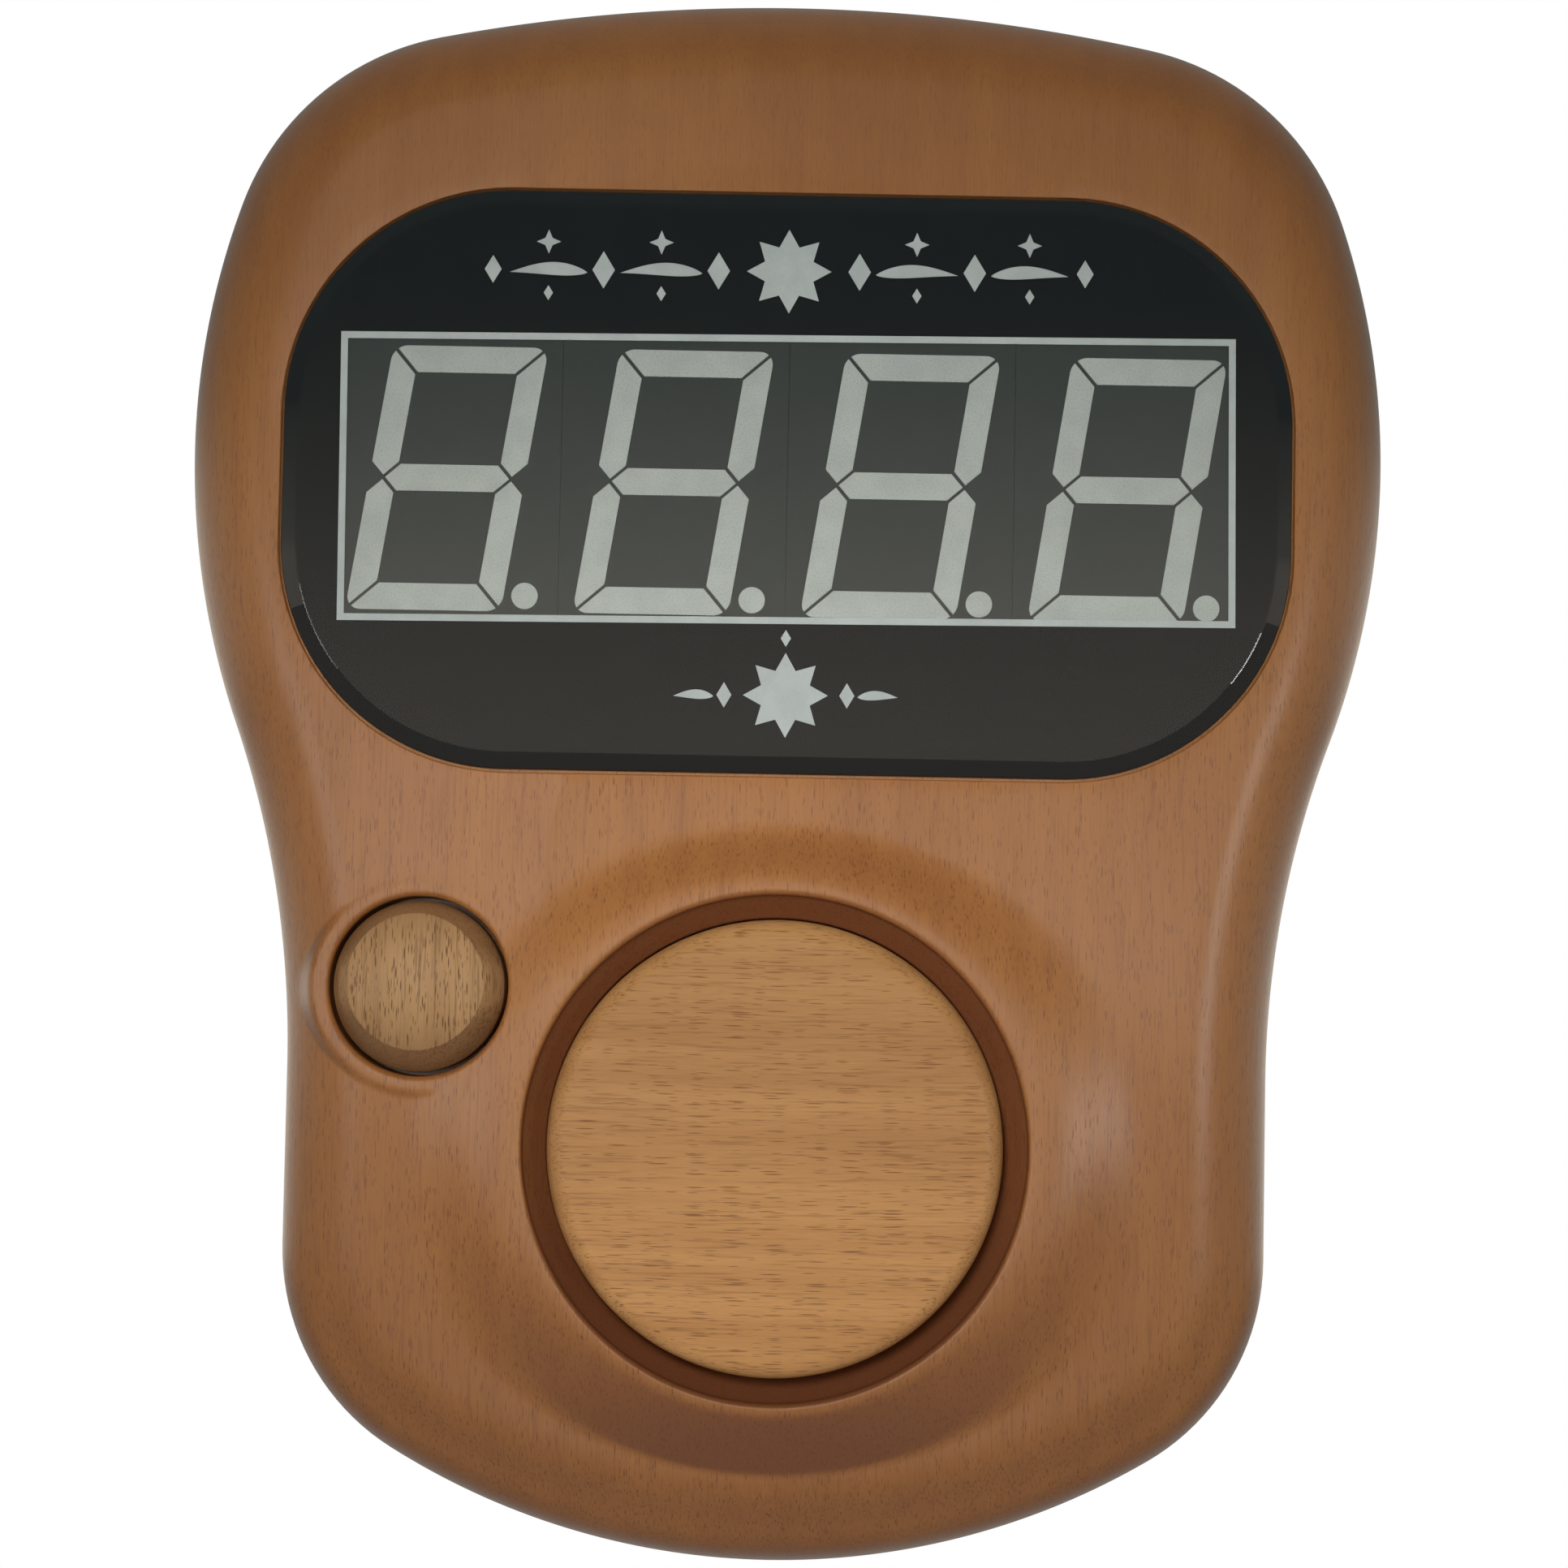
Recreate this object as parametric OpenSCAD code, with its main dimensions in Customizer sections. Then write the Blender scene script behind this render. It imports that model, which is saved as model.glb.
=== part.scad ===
// Wall-hung digital counter: a carved beech case with a bevelled glass window, four LED digits,
// a large count button and a small reset button.
// Sizes are in millimetres. The parts are drawn as seen on the wall (x right, y up, z out of the wall)
// and on_wall() turns them into the part's frame: +Z up, the front facing -Y, the wall at Y = 0.

/* [Case outline] */
// Widest width of the case, across the display
case_w = 257; // [250:1:268]
// Height of the case
case_h = 335; // [328:1:345]
// Width of the case beside the count button
lower_w = 210; // [206:1:216]
// Height of the widest place above the middle of the case
widest_y = 68.5; // [64:0.5:73]
// Radius of the long arc along the top
top_arc_r = 382; // [320:1:480]
// Radius of the two shoulders
shoulder_r = 57; // [48:1:66]
// Radius of the sides above the widest place
upper_side_r = 166; // [150:1:190]
// Radius of the sides below the widest place
lower_side_r = 174; // [160:1:190]
// Radius of the hollow waist
waist_r = 213; // [195:1:235]
// Radius of the long arc along the bottom
chin_arc_r = 157; // [148:1:170]
// Radius of the two lower corners
chin_corner_r = 50; // [44:1:56]

/* [Case section] */
// Thickness of the case, from the wall to its flat front
case_t = 40; // [39:0.5:44]
// Radius of the rounded front edge
front_edge_r = 19; // [15:0.5:20]
// Radius of the eased back edge
back_edge_r = 2; // [1:0.5:3]
// Distance from the case's side to the rear pocket
pocket_inset = 22; // [20:0.5:23]
// Depth of the rear pocket
pocket_depth = 16; // [15:0.5:18]
// Wood left between the hangers and the rear pocket
hanger_land = 12; // [10:0.5:13]
// Thickness of the webs under the two buttons
web_t = 6; // [5:0.5:7]
// Thickness of the rear cover
cover_t = 3; // [2.5:0.5:3.5]
// Width of the ledge that carries the rear cover
ledge_w = 7; // [6:0.5:8]
// Gap round the rear cover
cover_gap = 0.3; // [0.2:0.05:0.6]

/* [Window] */
// Width of the glass
glass_w = 214; // [208:1:218]
// Height of the glass
glass_h = 123.5; // [112:0.5:126]
// Corner radius of the glass
glass_r = 48; // [42:0.5:54]
// Thickness of the glass
glass_t = 5; // [4:0.5:6]
// Width of the glass's bevel
bevel_w = 3.3; // [2:0.1:5]
// Height of the glass's bevel
bevel_h = 2.4; // [1.5:0.1:3]
// How far the glass stands proud of the case's flat front
glass_proud = 2.75; // [2:0.05:3.2]
// Gap between the glass and its recess
glass_gap = 0.6; // [0.3:0.1:1]
// Height of the middle of the display above the middle of the case
display_y = 60.8; // [58:0.2:62]
// Thickness of the printed black film behind the glass
mask_t = 0.25; // [0.2:0.05:0.4]
// Thickness of the tape that bonds the glass to its ledge
tape_t = 0.5; // [0.4:0.1:1]
// Width of the tape's outer margin to the glass's edge
tape_margin = 1.5; // [1:0.5:4]
// Least width of the tape, at the corners of its opening
tape_w = 2; // [1.5:0.1:2.2]
// Outer width of the white frame line
frame_w = 190.5; // [188:0.5:191.5]
// Outer height of the white frame line
frame_h = 62; // [60:0.5:66]
// Width of the white frame line
frame_line_w = 1.6; // [1:0.1:1.8]
// How far the frame line sits above the middle of the digits
frame_rise = 1; // [0:0.1:1]
// Thickness of the ledge under the glass
skin_t = 6; // [5:0.5:7]

/* [Digits] */
// Width of one LED module
module_w = 48; // [47.9:0.05:48.3]
// Height of one LED module
module_h = 70; // [66:0.5:72]
// Depth of one LED module
module_d = 11; // [10:0.5:12]
// Gap between neighbouring modules
module_gap = 0.15; // [0.1:0.05:0.3]
// Height of a digit
digit_h = 56.5; // [54:0.5:57]
// Width of a digit
digit_w = 33; // [30:0.1:33.5]
// Radius of a digit's outer corners
digit_corner_r = 3.2; // [1:0.1:4]
// Width of a segment
segment_w = 5.7; // [5:0.1:6]
// Gap between neighbouring segments
segment_gap = 0.7; // [0.5:0.05:1]
// Depth of a segment's resin
segment_t = 1.4; // [1:0.1:2]
// How far the resin stands proud of its module
segment_proud = 0.2; // [0.1:0.05:0.22]
// Slant of the digits in degrees
slant = 9; // [8:0.5:10]
// Diameter of the decimal dot
dot_d = 5.6; // [5:0.1:5.6]
// Distance of the dot to the right of the module's middle
dot_x = 17; // [16.8:0.1:18]
// Distance of the dot above the digit's foot
dot_rise = 3.4; // [3:0.1:4]

/* [Display board] */
// Width of the display board
board_w = 194; // [193:0.5:195]
// Height of the display board
board_h = 90; // [89:0.5:92]
// Thickness of the circuit boards
board_t = 1.6; // [1.2:0.2:2]
// Gap between the display board and its pocket
board_gap = 2; // [1:0.5:2.5]
// Distance of the stand-offs from the board's long edges
standoff_edge = 4.5; // [4:0.5:5]
// Distance of the stand-offs from the board's short edges
standoff_side = 12; // [8:0.5:20]
// Distance between the two rows of module pins
pin_row = 60; // [56:0.5:61]
// Pitch of the module pins
pin_pitch = 2.54; // [2.54:0.01:5.08]
// Length of the module pins
pin_len = 3.6; // [3:0.1:4.5]

/* [Count button] */
// Diameter of the count button
count_d = 95.5; // [90:0.5:98]
// Gap between the count button and its well
count_gap = 5.25; // [3:0.25:6.5]
// Depth of the ring-shaped well round the count button, below the collar's rim
well_depth = 9; // [6:0.5:12]
// Gap between the count button and the bore it slides in
bore_gap = 0.6; // [0.4:0.1:1.5]
// Height of the button's centre above the middle of the case
count_y = -79.5; // [-82:0.5:-78]
// How far the count button stands proud of the case's flat front
count_proud = 6; // [4:0.5:8]
// Radius of the count button's rounded edge
count_edge_r = 4; // [2:0.5:6]
// Travel of the count button
count_travel = 3; // [2:0.1:3.2]
// Space left under the pressed count button
count_spare = 3; // [2:0.5:3.5]
// Radius of the circle of the three guides
guide_circle_r = 32; // [31:0.5:36]
// Height of the raised collar's rim above the flat front
collar_h = 3; // [2:0.1:4]
// Width of the collar's slope at its sides
collar_side = 25; // [20:0.5:27]
// Width of the collar's slope above and below
collar_end = 13.5; // [10:0.5:14]
// Width of the eased lips of the wells
lip_w = 1.2; // [0.6:0.1:1.5]
// Width of the flat rim on top of the collar
rim_w = 0.8; // [0.5:0.1:2]

/* [Reset button] */
// Diameter of the reset button
reset_d = 36; // [34:0.5:37]
// Gap between the reset button and its well
reset_gap = 0.9; // [0.5:0.1:1.2]
// Distance of the reset button's axis from the case's side
reset_side = 29.5; // [29:0.5:31]
// Height of the reset button above the middle of the case
reset_y = -47; // [-49:0.5:-46]
// How far the reset button stands proud of the case's flat front
reset_proud = 4.5; // [3:0.5:6]
// Width of the reset button's chamfer
reset_chamfer = 3.6; // [2:0.1:4.5]
// Height of the reset button's chamfer
reset_chamfer_h = 5.5; // [3:0.1:6.5]
// Travel of the reset button
reset_travel = 2.5; // [1.5:0.1:2.8]
// Space left under the pressed reset button
reset_spare = 1.5; // [1:0.5:2]
// Width of the wall that stands round the reset button's well
boss_wall = 3.2; // [2.5:0.1:4]
// How far that wall stands proud of the flat front
boss_proud = 0.4; // [0.2:0.1:1.5]

/* [Guides and switches] */
// Diameter of the guide screws' shanks
guide_d = 6; // [5:0.5:6.5]
// Diameter of the guide screws' heads
guide_head_d = 10; // [9:0.5:11]
// Height of the guide screws' heads
guide_head_h = 3; // [2.5:0.1:3.2]
// Depth of the pocket round the reset guide's head
head_pocket_depth = 4; // [3.5:0.5:5]
// Running clearance of a guide in its bush, on the radius
guide_fit = 0.05; // [0.02:0.01:0.09]
// Wall of a guide bush
bush_wall = 1.5; // [1:0.1:1.6]
// Wire of the return springs
spring_wire = 1; // [0.8:0.1:1.2]
// Mean diameter of the return springs
spring_d = 10; // [9.5:0.1:10.5]
// Turns of a return spring
spring_turns = 5; // [4:1:6]
// Depth of the spring seats in the buttons
spring_seat = 5; // [4:0.5:6]
// Diameter of the striker's stem
striker_d = 8; // [7:0.5:10]
// Width of a push switch
switch_w = 8.5; // [8:0.5:9]
// Diameter of a switch plunger
plunger_d = 3.2; // [3:0.1:4]
// Width of the count switch's board
count_board_w = 42; // [40:1:44]
// Height of the count switch's board
count_board_h = 34; // [30:1:36]
// Width of the reset switch's board
reset_board_w = 31; // [29:0.5:33]
// Height of the reset switch's board
reset_board_h = 30; // [28:0.5:32]
// Distance of the small boards' screws from the edges
board_screw_edge = 4; // [3.6:0.2:5]

/* [Power socket] */
// Diameter of the socket's barrel
socket_d = 9; // [8.5:0.5:9]
// Diameter of the socket's flange
socket_flange_d = 13; // [12:0.5:14]
// Thickness of the socket's flange
socket_flange_t = 2; // [1.5:0.5:2.5]
// Diameter of the opening for the plug
socket_hole_d = 6.4; // [6:0.1:7]
// Diameter of the contact pin
socket_pin_d = 2.1; // [2:0.1:2.5]
// Depth of the opening for the plug
socket_hole_depth = 11; // [9:0.5:13]
// Depth of the flat seat for the flange
socket_seat = 2.6; // [2.2:0.1:4]

/* [Hangers] */
// Distance of each hanger from the middle of the case
hanger_x = 60; // [50:1:64]
// Distance of the hangers' middle below the top of the case
hanger_drop = 26.5; // [25.5:0.5:27.5]
// Width of a hanger plate
hanger_w = 16; // [15:0.5:20]
// Height of a hanger plate
hanger_h = 36; // [34:0.5:37]
// Thickness of a hanger plate
hanger_t = 2; // [1.5:0.5:2.5]
// Diameter of the keyhole's entry
keyhole_d = 9; // [8:0.5:9.5]
// Width of the keyhole's slot
keyhole_slot_w = 4.6; // [4:0.1:5]
// Rise from the keyhole's entry to the slot's end
keyhole_rise = 10; // [8:0.5:11]
// Depth of the space behind a keyhole
keyhole_depth = 9; // [7:0.5:12]

/* [Hidden] */
$fn = 96;

// How far a cutter runs past the face it opens
cut = 1;
// Clearance between a fixed pin and its hole, on the radius
snug = 0.05;
// Gap left where a moving face stops or touches
touch = 0.2;

// Centres and turning points of the arcs of the case's outline
half_w = case_w / 2;
half_h = case_h / 2;
lower_hw = lower_w / 2;
top_c = [0, half_h - top_arc_r];
side_c = [half_w - upper_side_r, widest_y];
shoulder_c = meet(top_c, top_arc_r - shoulder_r, side_c, upper_side_r - shoulder_r);
flank_c = [half_w - lower_side_r, widest_y];
waist_c = waist_centre(lower_hw + waist_r, lower_side_r + waist_r);
chin_c = [0, chin_arc_r - half_h];
corner_x = lower_hw - chin_corner_r;
corner_c = [corner_x, chin_c.y - sqrt(pow(chin_arc_r - chin_corner_r, 2) - pow(corner_x, 2))];
top_a = heading(top_c, shoulder_c);
side_a = heading(side_c, shoulder_c);
flank_a = heading(flank_c, waist_c);
chin_a = heading(chin_c, corner_c);
hanger_y = half_h - hanger_drop;
pocket_top = hanger_y - hanger_h / 2 - hanger_land;

// Levels above the wall
recess_z = case_t + glass_proud - glass_t - mask_t - tape_t;
mask_z = recess_z + tape_t;
tape_inset = tape_margin + tape_w;
glass_z = mask_z + mask_t;
skin_z = recess_z - skin_t;
board_front = recess_z - module_d;
board_back = board_front - board_t;
count_web_top = pocket_depth + web_t;
count_under = count_web_top + count_travel + count_spare;
count_top = case_t + count_proud;
reset_web = pocket_depth + head_pocket_depth;
reset_web_top = reset_web + web_t;
reset_under = reset_web_top + reset_travel + reset_spare;
reset_top = case_t + reset_proud;

// Wells, bushes and guides
well_r = count_d / 2 + count_gap;
well_z = case_t + collar_h - well_depth;
reset_well_r = reset_d / 2 + reset_gap;
boss_r = reset_well_r + boss_wall;
boss_foot = 4;
reset_c = [reset_side - lower_hw, reset_y];
count_c = [0, count_y];
guide_at = [for (a = [30, 150, 270]) count_c + guide_circle_r * [cos(a), sin(a)]];
bush_r = guide_d / 2 + guide_fit + bush_wall;
thread_d = guide_d - 1;
thread_len = 9;
spring_seat_r = (spring_d + spring_wire) / 2 + 0.75;
striker_gap = 1;
striker_peg = 6;
striker_flange_r = striker_d / 2 + 6;
striker_flange_t = 2;

// Switches: the plunger stands proud of its switch by its travel and a little more
board_clear = 3.2;
plunger_spare = 0.3;
plunger_held = 0.9;
count_board_z = cover_t + board_clear;
count_board_top = count_board_z + board_t;
striker_end = pocket_depth - 0.5;
count_plunger_top = striker_end - touch;
count_switch_top = count_plunger_top - count_travel - plunger_spare;
switch_h = count_switch_top - count_board_top;
reset_head_end = reset_web - touch - guide_head_h;
reset_plunger_top = reset_head_end - touch;
reset_switch_top = reset_plunger_top - reset_travel - plunger_spare;
reset_board_top = reset_switch_top - switch_h;
reset_board_z = reset_board_top - board_t;
reset_board_gap = 0.6;
reset_board_c = [pocket_inset - lower_hw + reset_board_gap + reset_board_w / 2, reset_y];
head_pocket_r = guide_head_d / 2 + 2;

// Screws
screw_d = 2.9;
screw_head_d = 5.5;
screw_head_h = 1.8;
screw_bite = 4.5;
spacer_r = 3;
cover_screw_head_d = 6;
cover_screw_head_h = 1.9;
cover_screw_len = 13;
head_sink = 0.2;
rebate_inset = pocket_inset - ledge_w;
ledge_mid = rebate_inset + ledge_w / 2;
cover_screw_half = [
    [half_w - ledge_mid, widest_y],
    [lower_hw - ledge_mid, (waist_c.y + corner_c.y) / 2],
    corner_c + (chin_corner_r - ledge_mid) * [cos(chin_a / 2), sin(chin_a / 2)],
    chin_c + (chin_arc_r - ledge_mid) * [sin(15), -cos(15)],
    [70, pocket_top + ledge_w / 2]
];
cover_screw_at = concat(cover_screw_half, [for (p = cover_screw_half) [-p.x, p.y]]);
standoff_x = board_w / 2 - standoff_side;
standoff_y = board_h / 2 - standoff_edge;
standoff_at = [for (x = [-1, 1], y = [-1, 1]) [x * standoff_x, display_y + y * standoff_y]];
count_board_screw_at = corners(count_c, count_board_w, count_board_h);
reset_board_screw_at = corners(reset_board_c, reset_board_w, reset_board_h);

// Hangers
hanger_at = [[-hanger_x, hanger_y], [hanger_x, hanger_y]];
hanger_gap = 0.2;
hanger_corner_r = 2;
keyhole_foot = -keyhole_rise / 2;
hanger_screw_edge = 4;
hanger_screw_y = hanger_h / 2 - hanger_screw_edge;
keyhole_space_w = keyhole_d + 3;

// Power socket
socket_y = socket_seat - half_h;
socket_z = (cover_t + pocket_depth) / 2;
socket_nut_t = 2.5;
socket_nut_d = socket_d + 5;
socket_tail = 4;
socket_len = pocket_inset - socket_seat + socket_nut_t + socket_tail;
socket_nut_y = pocket_inset - half_h + 0.3;

// Digits
digit_count = 4;
module_pitch = module_w + module_gap;
display_w = digit_count * module_pitch - module_gap;
pins_per_row = 5;
pin_d = 0.7;
pin_hole_d = 1;
opening_gap = 0.5;

// Parts on the back of the display board
chip_z = 3.6;
controller_size = [35, 7.5];
controller_x = -40;
driver_size = [20, 6.5];
driver_x = [15, 48];
capacitor_d = 8;
capacitor_h = 9;
capacitor_x = 80;
capacitor_rise = 14;
header_size = [8, 6, 5.6];
header_row_y = display_y - board_h / 2 + 7;
header_x = [-30, 0, 30];
side_header_size = [8, 6, 5];
count_header_c = count_c + [0, count_board_h / 2 - side_header_size.y / 2 - 1];
reset_header_c = reset_board_c + [reset_board_w / 2 - side_header_size.y / 2 - 1, 0];

// Routes of the three cables inside the case
cable_d = 3;
cable_sides = 8;
cable_steps = 3;
cable_gap = 0.3;
header_end_z = board_back - header_size.z - cable_gap;
tail_y = socket_y + socket_len + cable_gap;
count_route = [
    [header_x[1], header_row_y, header_end_z], [header_x[1], header_row_y, header_end_z - 4],
    [0, 14, 10], [0, 0, 9], [0, -20, 9], [0, -40, 10], [0, -54, count_board_top + 2.5],
    [0, count_header_c.y + side_header_size.y / 2 + 4, count_board_top + 2.5],
    [0, count_header_c.y + side_header_size.y / 2 + cable_gap, count_board_top + 2.5]
];
reset_route = [
    [header_x[0], header_row_y, header_end_z], [header_x[0], header_row_y, header_end_z - 4],
    [-30, 14, 10], [-31, 0, 9], [-34, -20, 9], [-39, -38, 10], [-43, -45, reset_board_top + 2.3],
    [reset_header_c.x + side_header_size.y / 2 + 4, reset_y, reset_board_top + 2.5],
    [reset_header_c.x + side_header_size.y / 2 + cable_gap, reset_y, reset_board_top + 2.5]
];
power_route = [
    [header_x[2], header_row_y, header_end_z], [header_x[2], header_row_y, header_end_z - 4],
    [32, 14, 10], [42, 0, 9], [56, -22, 9], [60, -60, 9], [56, tail_y + 43, 9], [38, tail_y + 19, 9],
    [14, tail_y + 9, 10], [0, tail_y + 4, socket_z], [0, tail_y, socket_z]
];

// Plane geometry
function heading(from, to) = atan2(to.y - from.y, to.x - from.x);
// The right-hand crossing of two circles
function meet(c1, r1, c2, r2) =
    let (gap = norm(c2 - c1), along = (r1 * r1 - r2 * r2 + gap * gap) / (2 * gap))
    let (aside = sqrt(r1 * r1 - along * along), u = (c2 - c1) / gap)
    c1 + along * u + aside * [u.y, -u.x];
function waist_centre(x, reach) = [x, widest_y - sqrt(reach * reach - pow(x - flank_c.x, 2))];
// Points along an arc, its last point left out
function arc(c, r, a0, a1, n) =
    [for (i = [0 : n - 1]) c + r * [cos(a0 + (a1 - a0) * i / n), sin(a0 + (a1 - a0) * i / n)]];
// Right half of the case's outline, from the top down, moved in by a distance
function half_outline(inset) = concat(
    arc(top_c, top_arc_r - inset, 90, top_a, 6),
    arc(shoulder_c, shoulder_r - inset, top_a, side_a, 10),
    arc(side_c, upper_side_r - inset, side_a, 0, 6),
    arc(flank_c, lower_side_r - inset, 0, flank_a, 5),
    arc(waist_c, waist_r + inset, flank_a + 180, 180, 6),
    [[lower_hw - inset, waist_c.y]],
    arc(corner_c, chin_corner_r - inset, 0, chin_a, 9),
    arc(chin_c, chin_arc_r - inset, chin_a, -90, 8),
    [[0, inset - half_h]]
);
function outline(inset) =
    let (right = half_outline(inset))
    concat(right, [for (i = [len(right) - 2 : -1 : 1]) [-right[i].x, right[i].y]]);
// Clockwise outline of a rounded rectangle moved in by a distance
function pane_outline(w, h, r, inset, n) = [
    for (q = [0 : 3], i = [0 : n])
        let (a = 90 - 90 * q - 90 * i / n, sx = (q < 2) ? 1 : -1, sy = (q == 0 || q == 3) ? 1 : -1)
        [sx * (w / 2 - r) + (r - inset) * cos(a), sy * (h / 2 - r) + (r - inset) * sin(a)]
];
function lift(points, z) = [for (p = points) [p.x, p.y, z]];
// Screw places in the corners of a small board
function corners(c, w, h) =
    [for (x = [-1, 1], y = [-1, 1]) c + [x * (w / 2 - board_screw_edge), y * (h / 2 - board_screw_edge)]];

// The seven segments of a digit about its middle, upright, each grown by a small margin
function digit_polygons(grow) =
    let (w = digit_w / 2 + grow, h = digit_h / 2 + grow, s = segment_w + 2 * grow)
    let (m = (segment_gap - 2 * grow) / sqrt(2), r = digit_corner_r + grow, side = acos(m / (r * sqrt(2))))
    let (bar = concat(digit_corner(w, h, r, 45 + side, 90), flip(digit_corner(w, h, r, 90, 45 + side), -1, 1),
                      [[w - s - m, h - s], [s + m - w, h - s]]))
    let (post = concat(digit_corner(w, h, r, 180, 225 - side),
                       [[s - w, h - s - m], [s - w, s / 2 + m], [s / 2 - w, m], [-w, s / 2 + m]]))
    let (middle = [[s / 2 + m - w, 0], [s + m - w, s / 2], [w - s - m, s / 2],
                   [w - s / 2 - m, 0], [w - s - m, -s / 2], [s + m - w, -s / 2]])
    [bar, flip(bar, 1, -1), middle, post, flip(post, -1, 1), flip(post, 1, -1), flip(post, -1, -1)];
// Part of the round corner at the top left of an upright digit
function digit_corner(w, h, r, a0, a1) =
    [for (i = [0 : 5]) let (a = a0 + (a1 - a0) * i / 5) [r - w + r * cos(a), h - r + r * sin(a)]];
function flip(points, x, y) = [for (p = points) [p.x * x, p.y * y]];
function lean(points) = [for (p = points) [p.x + p.y * tan(slant), p.y]];
function module_x(i) = (i - (digit_count - 1) / 2) * module_pitch;

// Space curves
function unit(v) = v / norm(v);
function ring_point(c, u, v, r, a) = c + r * (cos(a) * u + sin(a) * v);
// A smooth curve through a route's points
function spline(p0, p1, p2, p3, t) =
    ((2 * p1) + (p2 - p0) * t + (2 * p0 - 5 * p1 + 4 * p2 - p3) * t * t
     + (3 * p1 - p0 - 3 * p2 + p3) * t * t * t) / 2;
function smooth_route(p) =
    let (n = len(p) - 1)
    concat(
        [for (i = [0 : n - 1], k = [0 : cable_steps - 1])
            spline(p[max(i - 1, 0)], p[i], p[i + 1], p[min(i + 2, n)], k / cable_steps)],
        [p[n]]
    );
function coil_point(z0, z1, t) =
    [spring_d / 2 * cos(360 * t), spring_d / 2 * sin(360 * t), z0 + (z1 - z0) * t / spring_turns];

// Shapes used by several parts
module on_wall() rotate([90, 0, 0]) children();

// A solid through rings of points that run clockwise seen from the front
module loft(rings) {
    n = len(rings[0]);
    last = len(rings) - 1;
    points = [for (ring = rings, p = ring) p];
    sides = [
        for (k = [0 : last - 1], i = [0 : n - 1])
            let (a = k * n + i, b = k * n + (i + 1) % n)
            each [[a, b, b + n], [a, b + n, a + n]]
    ];
    foot = [for (i = [n - 1 : -1 : 0]) i];
    head = [for (i = [0 : n - 1]) last * n + i];
    polyhedron(points, concat(sides, [foot, head]));
}

// A round tube along a list of points
module tube(path, r, sides, reference) {
    n = len(path) - 1;
    rings = [
        for (i = [0 : n])
            let (t = unit(path[min(i + 1, n)] - path[max(i - 1, 0)]))
            let (u = unit(cross(t, reference)), v = cross(t, u))
            [for (k = [0 : sides - 1]) ring_point(path[i], u, v, r, -360 * k / sides)]
    ];
    loft(rings);
}

module pane(w, h, r) {
    square([w - 2 * r, h], center = true);
    square([w, h - 2 * r], center = true);
    for (x = [-1, 1], y = [-1, 1]) translate([x * (w / 2 - r), y * (h / 2 - r)]) circle(r);
}

module disc(at, r, z0, z1) translate([at.x, at.y, z0]) cylinder(r = r, h = z1 - z0);

module block(at, size, z0, z1) {
    translate([at.x, at.y, (z0 + z1) / 2]) cube([size.x, size.y, z1 - z0], center = true);
}

// A pan-head screw that is driven away from the wall
module pan_screw(at, seat_z, end_z) {
    disc(at, screw_head_d / 2, seat_z - screw_head_h, seat_z);
    disc(at, screw_d / 2, seat_z - screw_head_h / 2, end_z);
}

// A countersunk screw, or with a margin the hole for it
module flat_screw(at, margin) {
    translate([at.x, at.y, head_sink - margin])
        cylinder(r1 = cover_screw_head_d / 2 + margin, r2 = screw_d / 2 + margin, h = cover_screw_head_h);
    disc(at, screw_d / 2 + margin, head_sink, cover_screw_len + margin);
}

// A shoulder screw whose head stops under a web and whose thread holds a button
module guide_screw(at, web_z, shoulder_z) {
    disc(at, guide_head_d / 2, web_z - touch - guide_head_h, web_z - touch);
    disc(at, guide_d / 2, web_z - touch - guide_head_h / 2, shoulder_z);
    disc(at, thread_d / 2, web_z, shoulder_z + thread_len);
}

// The room in a button for a guide screw's thread and its spring
module guide_room(at, under_z) {
    disc(at, spring_seat_r, under_z - cut, under_z + spring_seat);
    disc(at, thread_d / 2 + snug, under_z, under_z + spring_seat + thread_len + snug);
}

module spring(at, z0, z1) {
    rings = spring_turns * 12;
    low = z0 + spring_wire / 2 + touch;
    high = z1 - spring_wire / 2 - touch;
    translate([at.x, at.y, 0])
        tube([for (i = [0 : rings]) coil_point(low, high, i / 12)], spring_wire / 2, 6, [0, 0, 1]);
}

module push_switch(at, z0, top_z, plunger_top, travel) {
    bore_z = top_z - plunger_held - travel - touch / 2;
    difference() {
        block(at, [switch_w, switch_w], z0, top_z);
        disc(at, plunger_d / 2 + snug, bore_z, top_z + cut);
    }
}

module small_board(c, w, h, z0, screws) {
    difference() {
        translate([c.x, c.y, z0]) linear_extrude(board_t) pane(w, h, 2);
        for (p = screws) disc(p, screw_d / 2 + snug, z0 - cut, z0 + board_t + cut);
    }
}

module spacers(places, z0, z1) {
    for (p = places) difference() {
        disc(p, spacer_r, z0, z1);
        disc(p, screw_d / 2 + snug, z0 - cut, z1 + cut);
    }
}

// Case
module case_blank() {
    back_steps = 3;
    front_steps = 8;
    back = [
        for (i = [0 : back_steps])
            let (a = 90 * i / back_steps)
            lift(outline(back_edge_r * (1 - sin(a))), back_edge_r * (1 - cos(a)))
    ];
    front = [
        for (i = [0 : front_steps])
            let (a = 90 * i / front_steps)
            lift(outline(front_edge_r * (1 - cos(a))), case_t - front_edge_r * (1 - sin(a)))
    ];
    loft(concat(back, front));
}

// The low mound round the well: a round rim that slopes down to an oval foot
function collar_ring(reach, z) = [
    for (i = [0 : 71])
        let (a = -5 * i, rim = well_r + lip_w + rim_w)
        let (foot = 1 / norm([cos(a) / (rim + collar_side), sin(a) / (rim + collar_end)]))
        let (r = rim + (foot - rim) * reach)
        [count_c.x + r * cos(a), count_c.y + r * sin(a), z]
];

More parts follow.
